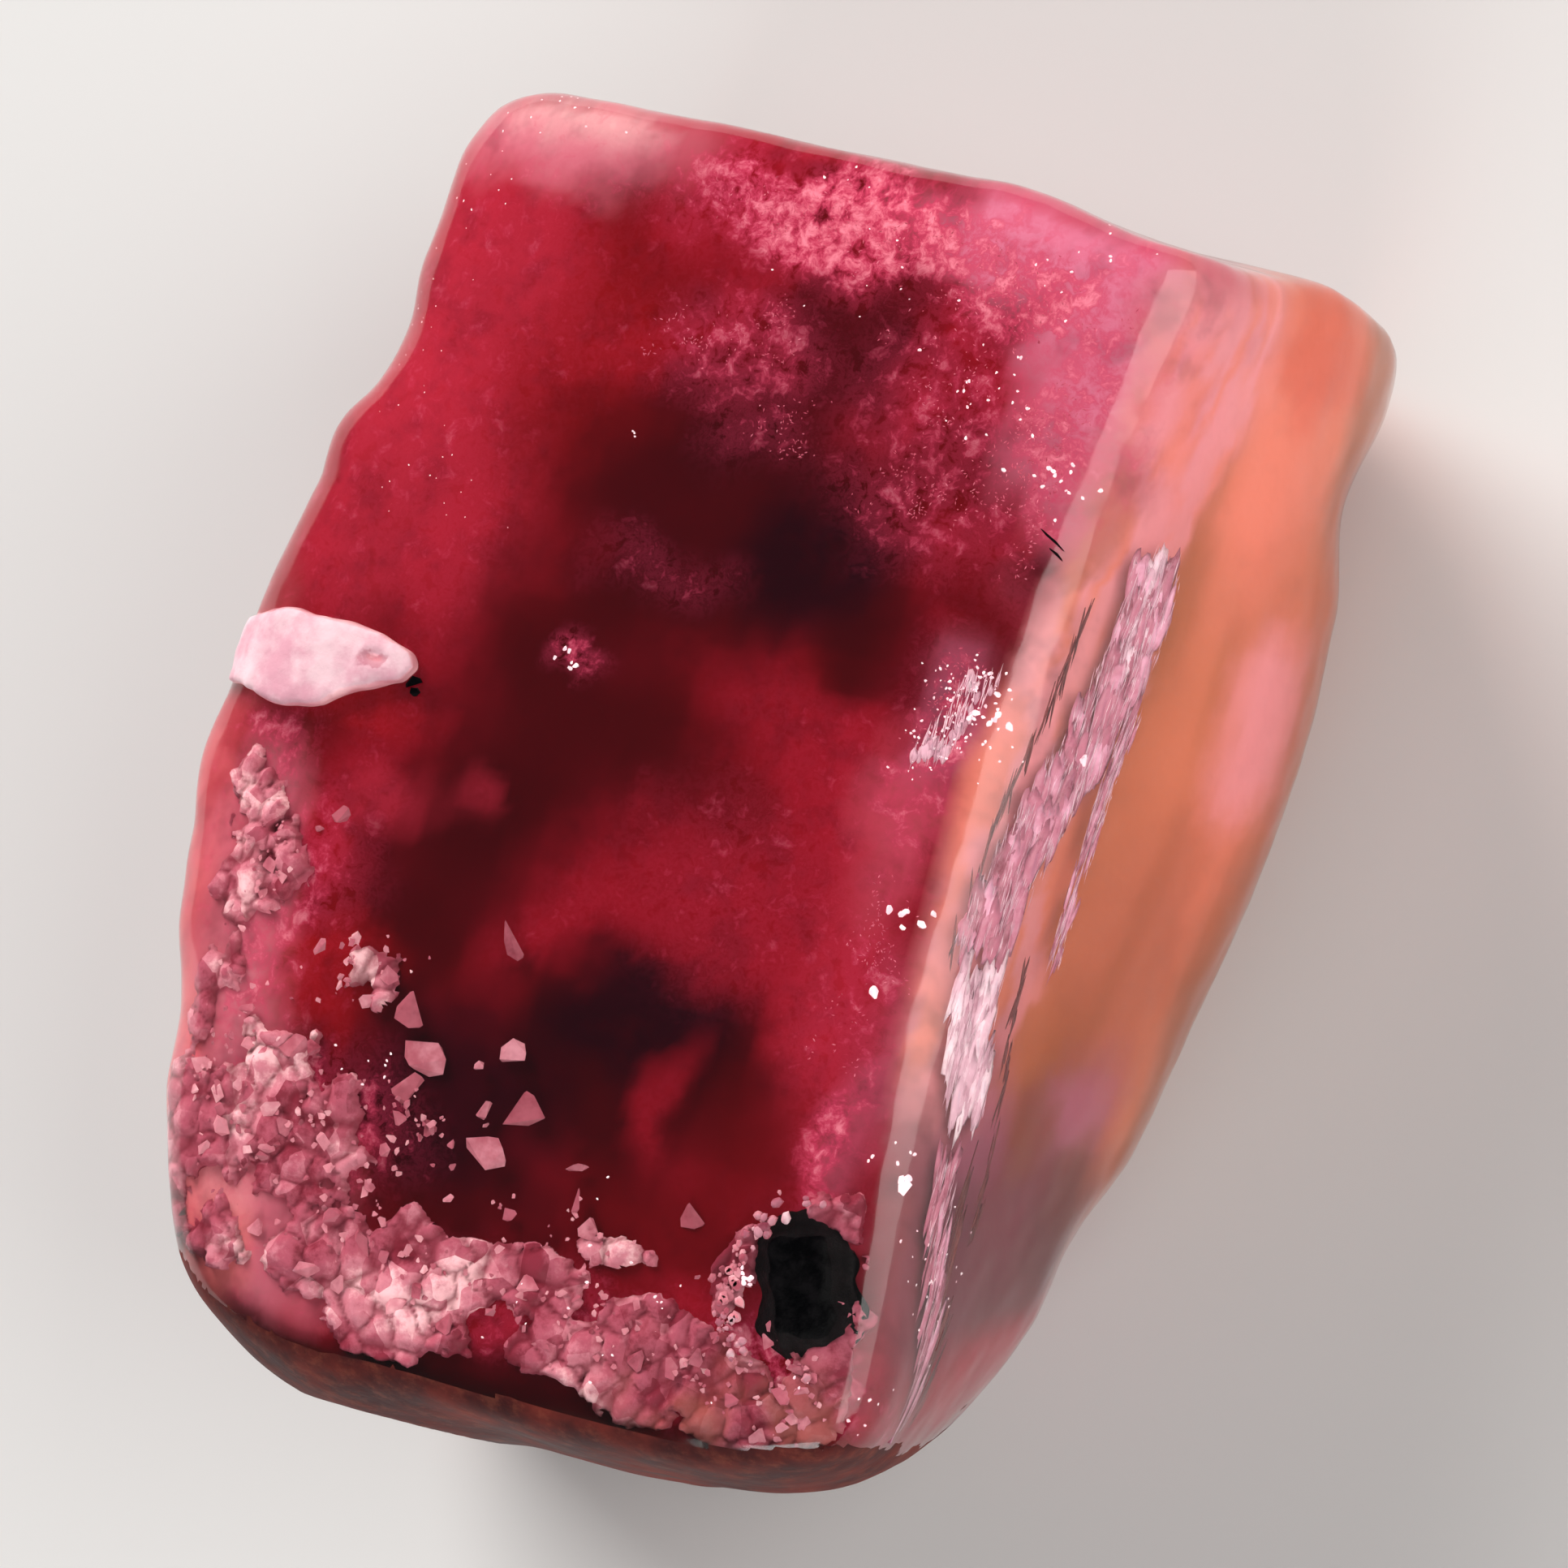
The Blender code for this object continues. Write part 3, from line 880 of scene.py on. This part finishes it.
# %% Where the crust is thick
CRUST_SPOTS = (
    # x, y, half width, half length, strength
    (-2.3, -3.95, 0.75, 0.5, 1.0), (-2.65, -3.3, 0.6, 0.35, 0.85), (-1.6, -4.7, 0.6, 0.4, 1.05),
    (-0.85, -5.1, 0.75, 0.42, 1.15), (-0.95, -4.45, 0.5, 0.28, 0.8), (-0.2, -4.55, 0.5, 0.35, 0.95),
    (0.45, -4.5, 0.55, 0.35, 1.0), (1.16, -4.02, 0.45, 0.14, 1.0), (0.85, -4.95, 0.55, 0.32, 1.0),
    (1.55, -4.6, 0.45, 0.35, 1.0), (1.6, -5.15, 0.6, 0.28, 1.0), (2.3, -4.9, 0.6, 0.4, 1.05),
    (2.8, -5.3, 0.7, 0.25, 1.0), (3.25, -4.7, 0.35, 0.7, 0.95), (-3.45, -4.0, 0.45, 0.8, 0.85),
    (-3.0, -4.75, 0.5, 0.35, 0.8), (-3.65, -2.7, 0.22, 0.6, 0.8), (-3.45, -1.75, 0.4, 0.4, 0.8),
    (-3.05, -1.35, 0.3, 0.5, 0.65), (-3.75, -0.8, 0.2, 0.6, 0.65), (-2.05, -2.3, 0.25, 0.4, 0.6),
    (2.3, -3.9, 0.2, 0.5, 0.8), (-2.25, -2.95, 0.2, 0.18, 0.7), (-1.75, -2.25, 0.2, 0.3, 0.75),
    (-3.05, -2.95, 0.18, 0.16, 0.75), (3.55, -3.9, 0.2, 0.6, 0.6), (-2.9, -3.6, 0.8, 0.5, 0.95),
    (-3.55, -1.1, 0.35, 0.8, 0.62), (-3.5, -2.3, 0.4, 0.6, 0.62), (-2.85, -1.8, 0.25, 0.3, 0.55),
    (-1.95, -3.4, 0.35, 0.35, 0.8), (-3.6, -4.6, 0.35, 0.4, 0.85), (3.1, -3.2, 0.35, 0.25, 0.62),
)
CRUST_NET = 0.036        # how far apart its points are
CRUST_LEFT, CRUST_WIDTH = -4.5, 8.6
CRUST_LOW, CRUST_LENGTH = -5.75, 5.4
ABOVE = 6.0              # a height over the top face


def crust_field(x, y):
    """How thick the crust wants to be at a place, before it is cut off at a half."""
    best = 0.0
    for middle_x, middle_y, half_width, half_length, strength in CRUST_SPOTS:
        away = sqrt(((x - middle_x) / half_width) ** 2 + ((y - middle_y) / half_length) ** 2)
        best = max(best, strength * (1 - min(away / 1.5, 1) ** 2))
    place = Vector((x, y, 0))
    ragged = noise.fractal(place * 1.7, 0.7, 2.1, 5) * 0.42
    return best + ragged


def crust_net(name):
    """A net over the foot of the front face, hung by the thickness of the crust."""
    columns, rows = round(CRUST_WIDTH / CRUST_NET), round(CRUST_LENGTH / CRUST_NET)
    points, lifts = [], []
    for row in range(rows):
        for column in range(columns):
            x, y = CRUST_LEFT + column * CRUST_NET, CRUST_LOW + row * CRUST_NET
            hit, normal, _, _ = skin_tree.ray_cast(Vector((x, y, 9)), Vector((0, 0, -1)))
            field = crust_field(x, y) if hit and normal.z > 0.3 else 0.0
            cover = max(0.0, min((field - 0.38) / 0.24, 1.0))
            shaken = noise.noise_vector(Vector((x, y, 0)) * 6) * 0.15
            near, far = noise.voronoi(Vector((x * 3.0, y * 3.0, 1.0)) + shaken)[0][:2]
            dome = min((far - near) * 2.2, 1.0)
            fine = noise.noise(Vector((x, y, 0)) * 14) * 0.012
            depth = 0.34 - cover * (0.21 + 0.09 * dome) - fine * cover
            points.append((hit - normal * depth) * MM if cover > 0 else None)
            lifts.append(cover * dome)
    numbers, kept = {}, []
    for index, point in enumerate(points):
        if point is not None:
            numbers[index] = len(kept)
            kept.append(point)
    faces = []
    for row in range(rows - 1):
        for column in range(columns - 1):
            first = row * columns + column
            corners = (first, first + 1, first + columns + 1, first + columns)
            if all(corner in numbers for corner in corners):
                faces.append([numbers[corner] for corner in corners])
    mesh = bpy.data.meshes.new(name)
    mesh.from_pydata(kept, [], faces)
    shade_smooth(mesh)
    lifted = mesh.color_attributes.new("lift", "FLOAT_COLOR", "POINT")
    kept_lifts = [lifts[index] for index in numbers]
    lifted.data.foreach_set("color", np.repeat(kept_lifts, 4))
    return mesh


crust_ground = new_piece("matrix_crust_ground", crust_net("matrix_crust_ground"))
print("crust faces:", len(crust_ground.data.polygons))

# %% Its finish
rock = Graph("crust_stone")
cells = rock.node("ShaderNodeTexVoronoi", {}, Vector=rock.place, Scale=3.4, Randomness=1.0, out="Color")
tint = rock.node("ShaderNodeSeparateColor", {}, cells)
dust = rock.grain(5.0, detail=4, roughness=0.7)
cloudy = rock.grain(1.4, detail=1)
from_slab = rock.vector("DIVIDE", rock.vector("SUBTRACT", rock.place, (-1.0, -5.0, 5.5)), (0.8, 0.4, 9.0))
slab = 1 - rock.vector("LENGTH", from_slab, out=1).step(0.5, 1.1)
to_right = (rock.x - 1.2).step(0.0, 1.4)
level = tint * 0.4 + dust * 0.75 + cloudy * 0.8 + slab * 0.22 - to_right * 0.16 - 0.57
crust_colour = rock.blend(level.step(0.1, 0.34), linear(132, 48, 66), linear(176, 92, 112))
crust_colour = rock.blend(level.step(0.34, 0.54), crust_colour, linear(206, 136, 152))
crust_colour = rock.blend(level.step(0.54, 0.76), crust_colour, linear(248, 210, 216))
lift = rock.node("ShaderNodeSeparateColor", {}, rock.node("ShaderNodeVertexColor", dict(layer_name="lift")))
crust_colour = rock.blend(lift.step(-0.15, 0.4), linear(112, 30, 46), crust_colour)
sandy = (rock.x - 0.9).step(0.0, 1.6) * (0 - rock.y).step(4.2, 5.2) * cloudy.step(0.4, 0.6)
crust_colour = rock.blend(sandy * 0.8, crust_colour, linear(152, 86, 76))
rock.paint(
    Base_Color=crust_colour, Roughness=dust * 0.3 + 0.4, Specular_IOR_Level=0.2,
    Normal=rock.bump(dust, 0.6, 0.02),
)
crust_ground.data.materials.append(rock.material)
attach(crust_ground, "root")
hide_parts("matrix_crust")

# %% Loose grains on and round the crust
CRUST_DRIFTS = (
    # x, y, spread along x, spread along y, grains
    (-2.3, -3.6, 0.7, 0.45, 70), (-1.5, -4.5, 0.6, 0.35, 40), (-0.4, -4.7, 0.7, 0.3, 40),
    (0.8, -4.6, 0.7, 0.3, 50), (2.1, -4.9, 0.6, 0.25, 40), (3.1, -4.7, 0.35, 0.5, 50),
    (-3.3, -3.4, 0.35, 0.7, 40), (-3.3, -1.4, 0.3, 0.5, 30), (-2.1, -2.1, 0.4, 0.4, 26),
    (2.3, -4.2, 0.16, 0.35, 20), (-1.0, -3.5, 0.4, 0.25, 26), (0.4, -3.9, 0.6, 0.12, 20),
)
luck = random.Random(4)
crust = Pile([splinter(seed, 8) for seed in range(60, 68)])
for x, y, along_x, along_y, count in CRUST_DRIFTS:
    for _ in range(count):
        place, normal = on_skin(luck.gauss(x, along_x * 0.7), luck.gauss(y, along_y * 0.7), ABOVE)
        size = luck.uniform(0.012, 0.04) * luck.choice((1, 1, 1, 2.6))
        sizes = (size * luck.uniform(0.9, 1.6), size, size * 0.4)
        depth = luck.uniform(0.04, 0.12)
        crust.lay(place - normal * depth, normal, sizes, luck.uniform(0, pi), luck.uniform(-0.3, 0.3))
crust.piece("crust_grains", crust_finish, "matrix", smooth=False)

# %% [markdown]
# ## Flakes afloat
#
# Above the crust a few angular flakes of feldspar hang in the dark stone. They are
# splinters: the hull round a handful of stray points, laid nearly flat.

# %% Loose flakes
FLAKES = (
    # x, y, half width, half length, turn in degrees, depth
    (-1.39, -2.42, 0.21, 0.17, 10, 0.08), (-1.19, -2.79, 0.26, 0.2, -35, 0.12),
    (-1.3, -3.1, 0.18, 0.14, 50, 0.14), (-0.34, -3.48, 0.24, 0.17, -25, 0.05),
    (-0.1, -3.03, 0.27, 0.19, 15, 0.08), (-0.34, -2.56, 0.16, 0.13, 0, 0.1),
    (-0.61, -1.61, 0.11, 0.2, 35, 0.08), (-2.51, -2.99, 0.17, 0.13, 5, 0.08),
    (-0.45, -3.12, 0.1, 0.07, 70, 0.06), (0.55, -3.42, 0.12, 0.04, 15, 0.08),
    (0.62, -3.7, 0.05, 0.14, 8, 0.08), (-0.62, -2.75, 0.06, 0.05, 0, 0.08),
    (1.75, -3.55, 0.16, 0.12, 30, 0.16), (-2.6, -0.87, 0.1, 0.1, 0, 0.06),
)
FLAKE_THICKNESS = 0.035
flakes = Pile([splinter(seed) for seed in range(6)])
for x, y, half_width, half_length, turn, depth in FLAKES:
    place, normal = on_skin(x, y, ABOVE)
    sizes = (half_width, half_length, FLAKE_THICKNESS)
    flakes.lay(place - normal * depth, normal, sizes, radians(turn))
flakes.piece("loose_flakes", flake_finish, "feldspar", smooth=False)

# %% [markdown]
# ## Veils of flaws
#
# The pink mist in the upper half is made of countless healed cracks. Its wisps are
# painted on the heart. Here a dust of the largest flaws is laid under the skin, too
# small to be seen one by one.

# %% Dust in the veils
VEILS = (
    # x, y, spread along x, spread along y, tufts
    (0.9, 5.25, 0.95, 0.2, 40), (2.4, 4.9, 0.7, 0.3, 40), (-0.4, 3.95, 0.25, 0.22, 12),
    (0.35, 4.2, 0.28, 0.26, 14), (0.65, 3.32, 0.28, 0.16, 12), (2.1, 4.1, 0.4, 0.45, 24),
    (2.9, 3.6, 0.35, 0.6, 40), (2.1, 3.0, 0.45, 0.22, 22), (3.3, 3.4, 0.14, 0.7, 40),
    (2.9, 1.2, 0.18, 0.42, 34), (2.8, -1.0, 0.22, 0.8, 26),
)
veils = Pile([sliver()])
for x, y, along_x, along_y, tufts in VEILS:
    for _ in range(tufts):
        middle, normal = on_skin(luck.gauss(x, along_x * 0.6), luck.gauss(y, along_y * 0.6), ABOVE)
        middle -= normal * luck.uniform(0.05, 0.13)
        for _ in range(luck.randint(4, 7)):
            strayed = Vector((luck.gauss(0, 0.06), luck.gauss(0, 0.06), 0))
            sizes = (luck.uniform(0.006, 0.022), 0.006, 0.005)
            veils.lay(middle + strayed, normal, sizes, luck.uniform(0, pi))
veils.piece("flaw_dust", veil_finish, "red_beryl", smooth=False)

# %% [markdown]
# ## Painted glints
#
# Here and there a broken facet throws the lamp straight back. These glints are
# painted highlights: tiny, glossy, nearly white splinters just under the skin,
# which give off a little light of their own though they are no lamps.

# %% Painted glints
PAINTED_SPARK_DRIFTS = (
    # x, y, z, spread, size, count
    (3.05, 1.45, 5.6, 0.16, 0.022, 60), (2.95, 1.0, 5.6, 0.2, 0.018, 70), (3.15, 1.3, 5.5, 0.08, 0.05, 8),
    (2.88, -1.3, 5.6, 0.015, 0.07, 2), (2.99, -0.56, 5.6, 0.08, 0.05, 6),
    (3.53, -2.8, 5.5, 0.03, 0.085, 3), (3.35, -2.6, 5.5, 0.1, 0.03, 6), (2.7, 4.0, 5.7, 0.3, 0.022, 22),
    (3.35, 3.4, 5.6, 0.15, 0.03, 14), (1.2, 5.0, 5.7, 0.9, 0.018, 24), (-3.2, 3.6, 5.4, 0.35, 0.01, 22),
    (-2.6, 2.2, 5.6, 0.4, 0.01, 16), (-2.2, 5.85, 5.5, 0.28, 0.018, 16), (-2.9, 5.0, 5.4, 0.2, 0.014, 12),
    (-0.71, 3.02, 5.7, 0.03, 0.022, 3), (3.86, 1.18, 4.74, 0.03, 0.06, 3),
    (2.4, -3.95, 5.5, 0.06, 0.035, 10), (3.2, -4.95, 5.3, 0.25, 0.025, 16),
    (1.2, -4.6, 5.4, 0.5, 0.022, 20), (-1.55, -3.05, 5.5, 0.2, 0.018, 8),
    (3.7, -3.6, 4.8, 0.35, 0.022, 30), (-0.7, 0.95, 5.6, 0.1, 0.035, 6), (3.2, 5.3, 5.5, 0.3, 0.02, 10),
)
painted_sparks = Pile([splinter(seed, 16) for seed in range(20, 24)])
for x, y, z, spread, size, count in PAINTED_SPARK_DRIFTS:
    for _ in range(count):
        strayed = [luck.gauss(middle, spread) for middle in (x, y, z)]
        place, normal = on_skin(*strayed)
        reach = size * luck.uniform(0.5, 1.1)
        sizes = (reach, reach * 0.7, reach * 0.5)
        painted_sparks.lay(place - normal * 0.02, normal, sizes, luck.uniform(0, pi), luck.uniform(-0.5, 0.5))
painted_sparks.piece("glints", painted_spark_finish, "red_beryl", smooth=False)

# %% [markdown]
# ## The etched band on the flank
#
# A shallow, frosted groove runs down the right flank beside the red face. Its floor
# is a mauve scar, combed with fine lines along the crystal, and it ends below in a
# white bruise. Overlapping scales make the scar and needles make the lines.

# %% Scales along the groove
BANDS = (
    # finish, way along (x, y, z), half width, scales, half length of a scale
    ("mauve", ((4.03, 2.95, 4.6), (3.99, 2.23, 4.56), (3.86, 1.28, 4.78), (3.74, 0.63, 5.02),
               (3.66, 0.01, 5.17), (3.59, -0.68, 5.28)), 0.29, 170, 0.22),
    ("mauve", ((4.03, 1.69, 4.29), (3.97, 1.08, 4.33), (3.93, 0.49, 4.31), (3.87, -0.63, 4.25)),
     0.09, 44, 0.2),
    ("frost", ((3.6, -0.89, 5.22), (3.65, -1.51, 5.09), (3.68, -2.05, 4.96)), 0.26, 70, 0.24),
    ("frost", ((4.05, 3.05, 4.55), (4.0, 2.1, 4.6)), 0.16, 34, 0.12),
    ("frost", ((3.12, 1.65, 5.6), (2.98, 1.2, 5.6), (2.8, 0.8, 5.6)), 0.12, 26, 0.07),
    ("mauve", ((3.64, -2.55, 5.05), (3.66, -3.4, 4.8), (3.6, -4.7, 4.3)), 0.16, 50, 0.26),
    ("dark", ((3.7, -2.6, 4.7), (3.68, -3.6, 4.45), (3.58, -4.8, 3.9)), 0.06, 30, 0.26),
    ("dark", ((3.74, 2.3, 5.25), (3.69, 1.82, 5.28), (3.6, 1.13, 5.38), (3.5, 0.51, 5.46),
              (3.41, -0.76, 5.54)), 0.03, 34, 0.2),
    ("dark", ((3.8, -0.7, 4.62), (3.76, -1.14, 4.63), (3.77, -1.85, 4.46), (3.76, -2.57, 4.32),
              (3.75, -3.08, 4.23)), 0.04, 34, 0.16),
)
BAND_FINISHES = dict(
    mauve=pale_finish("mauve_scar", (132, 58, 76), (196, 120, 144), (240, 186, 212), roughness=0.3),
    frost=pale_finish("white_bruise", (176, 120, 140), (226, 188, 204), (255, 242, 248)),
    dark=pale_finish("dark_seam", (70, 16, 22), (110, 42, 44), (134, 60, 58)),
)


def along(way, share):
    """A point on a way of straight stretches, by a share of it from 0 to 1."""
    stretch = min(int(share * (len(way) - 1)), len(way) - 2)
    rest = share * (len(way) - 1) - stretch
    return Vector(way[stretch]).lerp(Vector(way[stretch + 1]), rest)


ALONG = Vector((0, 1, 0))
scars = {name: Pile([lump(seed, 0.7) for seed in range(30, 34)]) for name in BAND_FINISHES}
combed = Pile([sliver()])
for name, way, half_width, count, half_length in BANDS:
    for _ in range(count):
        place, normal = on_skin(*along(way, luck.random()))
        across = normal.cross(ALONG).normalized()
        place, normal = on_skin(*(place + across * luck.uniform(-1, 1) * half_width))
        sizes = (half_length * luck.uniform(0.6, 1.5), half_width * luck.uniform(0.12, 0.36), 0.02)
        depth = luck.uniform(0.02, 0.04)
        scars[name].lay(place - normal * depth, normal, sizes, luck.uniform(-0.15, 0.15), heading=ALONG)
        if name != "dark":
            for _ in range(4):
                middle = on_skin(*along(way, luck.random()))[0]
                place, normal = on_skin(*(middle + across * luck.uniform(-1.2, 1.2) * half_width))
                line = (luck.uniform(0.02, 0.16), 0.005, 0.005)
                combed.lay(place - normal * 0.01, normal, line, luck.uniform(-0.15, 0.15), heading=ALONG)
for name, scar in scars.items():
    scar.piece(name + "_scar", BAND_FINISHES[name], "red_beryl")
combed.piece("combed_lines", BAND_FINISHES["frost"], "red_beryl", smooth=False)

# %% [markdown]
# ## The feldspar chip
#
# A white, wedge-shaped chip is set in the left edge. It keeps the solid's outline,
# but its edges are rounded, its face is lumpy, and near its thin end is a shallow
# dent, painted a darker pinkish red.

# %% The chip
def worn_copy(node, name, net_size, swell, roughness, rounds):
    """A fine, uneven copy of a solid, a little proud of the skin."""
    thing = new_piece(name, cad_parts[node].data.copy())
    thing.data.materials.clear()
    even_out(thing, net_size, rounds)
    normals = [vert.normal.copy() for vert in thing.data.vertices]
    for vert, normal in zip(thing.data.vertices, normals):
        place = vert.co / MM
        uneven = noise.noise(place * 2.2) * roughness + noise.noise(place * 7.0) * roughness * 0.4
        vert.co += normal * (swell + uneven) * MM
    return thing


DENT = Vector((-2.66, 0.56, 5.5))
DENT_WIDTH, DENT_LENGTH, DENT_DEPTH = 0.17, 0.07, 0.05
chip = worn_copy("feldspar_chip", "feldspar_chip_worn", net_size=0.035, swell=0.02, roughness=0.03, rounds=6)
for vert in chip.data.vertices:
    away = vert.co / MM - DENT
    reach = sqrt((away.x / DENT_WIDTH) ** 2 + (away.y / DENT_LENGTH) ** 2)
    vert.co.z -= DENT_DEPTH * MM * max(0, 1 - reach ** 2)
chip_paint = Graph("feldspar_white")
cloudy = chip_paint.grain(2.4, detail=6, roughness=0.6)
chip_colour = chip_paint.blend(cloudy.step(0.35, 0.65), linear(226, 164, 180), linear(246, 206, 214))
push = chip_paint.vector("SUBTRACT", chip_paint.grain(6.0, detail=4, out=1), (0.5, 0.5, 0.5))
ragged = chip_paint.vector("ADD", chip_paint.place, chip_paint.vector("SCALE", push, scale=0.4))
away = chip_paint.vector("SUBTRACT", ragged, DENT)
away = chip_paint.vector("DIVIDE", away, (DENT_WIDTH, DENT_LENGTH, 0.6))
in_dent = 1 - chip_paint.vector("LENGTH", away, out=1).step(0.7, 1.2)
chip_colour = chip_paint.blend(in_dent * 0.5, chip_colour, linear(178, 76, 98))
chip_paint.paint(
    Base_Color=chip_colour, Roughness=cloudy * 0.2 + 0.35,
    Normal=chip_paint.bump(chip_paint.grain(7.0, detail=5), 0.5, 0.03),
)
chip.data.materials.append(chip_paint.material)
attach(chip, "root")
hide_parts("feldspar_chip")
print("chip faces:", len(chip.data.polygons))

# %% [markdown]
# ## The bixbyite crystal
#
# Bixbyite is a manganese and iron oxide, as black as coal with a dull metal sheen.
# Its little cube is worn at the corners, pitted, and ringed by pale grains.

# %% The black crystal
bixbyite = worn_copy(
    "bixbyite_crystal", "bixbyite_worn", net_size=0.03, swell=0.03, roughness=0.055, rounds=8,
)
for vert in bixbyite.data.vertices:
    x, y, z = vert.co / MM
    taper = 0.98 - 0.45 * abs((y + 3.9) / 0.7) ** 3 + 0.3 * noise.noise(Vector((x * 2.5, y * 4, 0)))
    x = 2.9 + (x - 2.95) * taper + (y + 3.9) * -0.06
    vert.co = Vector((x, y - 0.1 * (x - 2.9), max(z, 5.5))) * MM
coal = Graph("bixbyite_black")
pits = coal.grain(6.0, detail=6, roughness=0.65)
steps = coal.grain(1.8, detail=2)
coal_colour = coal.blend(pits.step(0.4, 0.7), linear(1, 1, 2), linear(14, 12, 14))
coal.paint(
    Base_Color=coal_colour, Roughness=pits * 0.4 + 0.35, Specular_IOR_Level=0.1,
    Normal=coal.bump(pits + steps, 0.7, 0.04),
)
bixbyite.data.materials.append(coal.material)
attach(bixbyite, "root")
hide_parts("bixbyite_crystal")
print("bixbyite faces:", len(bixbyite.data.polygons))

# %% The ring of grains and other specks
ring = Pile([lump(seed, 0.5) for seed in range(40, 45)])
for _ in range(90):
    around = luck.gauss(pi * 1.05, 0.75)
    reach = luck.gauss(1.02, 0.09)
    x = 2.95 + cos(around) * 0.66 * reach + sin(around) * 0.1
    y = -3.92 + sin(around) * 0.78 * reach
    place, normal = on_skin(x, y, ABOVE)
    size = luck.uniform(0.012, 0.042)
    depth = luck.uniform(0, 0.03)
    ring.lay(place - normal * depth, normal, (size * 1.3, size, size * 0.8), luck.uniform(0, pi))
ring.piece("ring_of_grains", crust_finish, "matrix")

specks = Pile([splinter(seed, 8) for seed in range(50, 53)])
for x, y, z, half_width, half_length, turn in (
    (-2.2, 0.42, 5.6, 0.1, 0.07, 20), (-2.16, 0.34, 5.6, 0.06, 0.05, 0),
    (3.4, 2.9, 5.6, 0.17, 0.018, -30), (3.44, 2.8, 5.6, 0.1, 0.02, -34),
):
    place, normal = on_skin(x, y, z)
    specks.lay(place, normal, (half_width, half_length, 0.03), radians(turn))
specks.piece("dark_specks", coal, "bixbyite", smooth=False)

# %% [markdown]
# ## Within the box
#
# The solids fix how large the crystal is. A grain that pokes out by a hair is
# pressed back to the face of their box.

# %% Finish
for piece in pieces:
    places = places_of(piece.data) * MM
    piece.data.vertices.foreach_set("co", np.clip(places, *cad_box).ravel())
    piece.data.update()
print("pieces:", len(pieces))
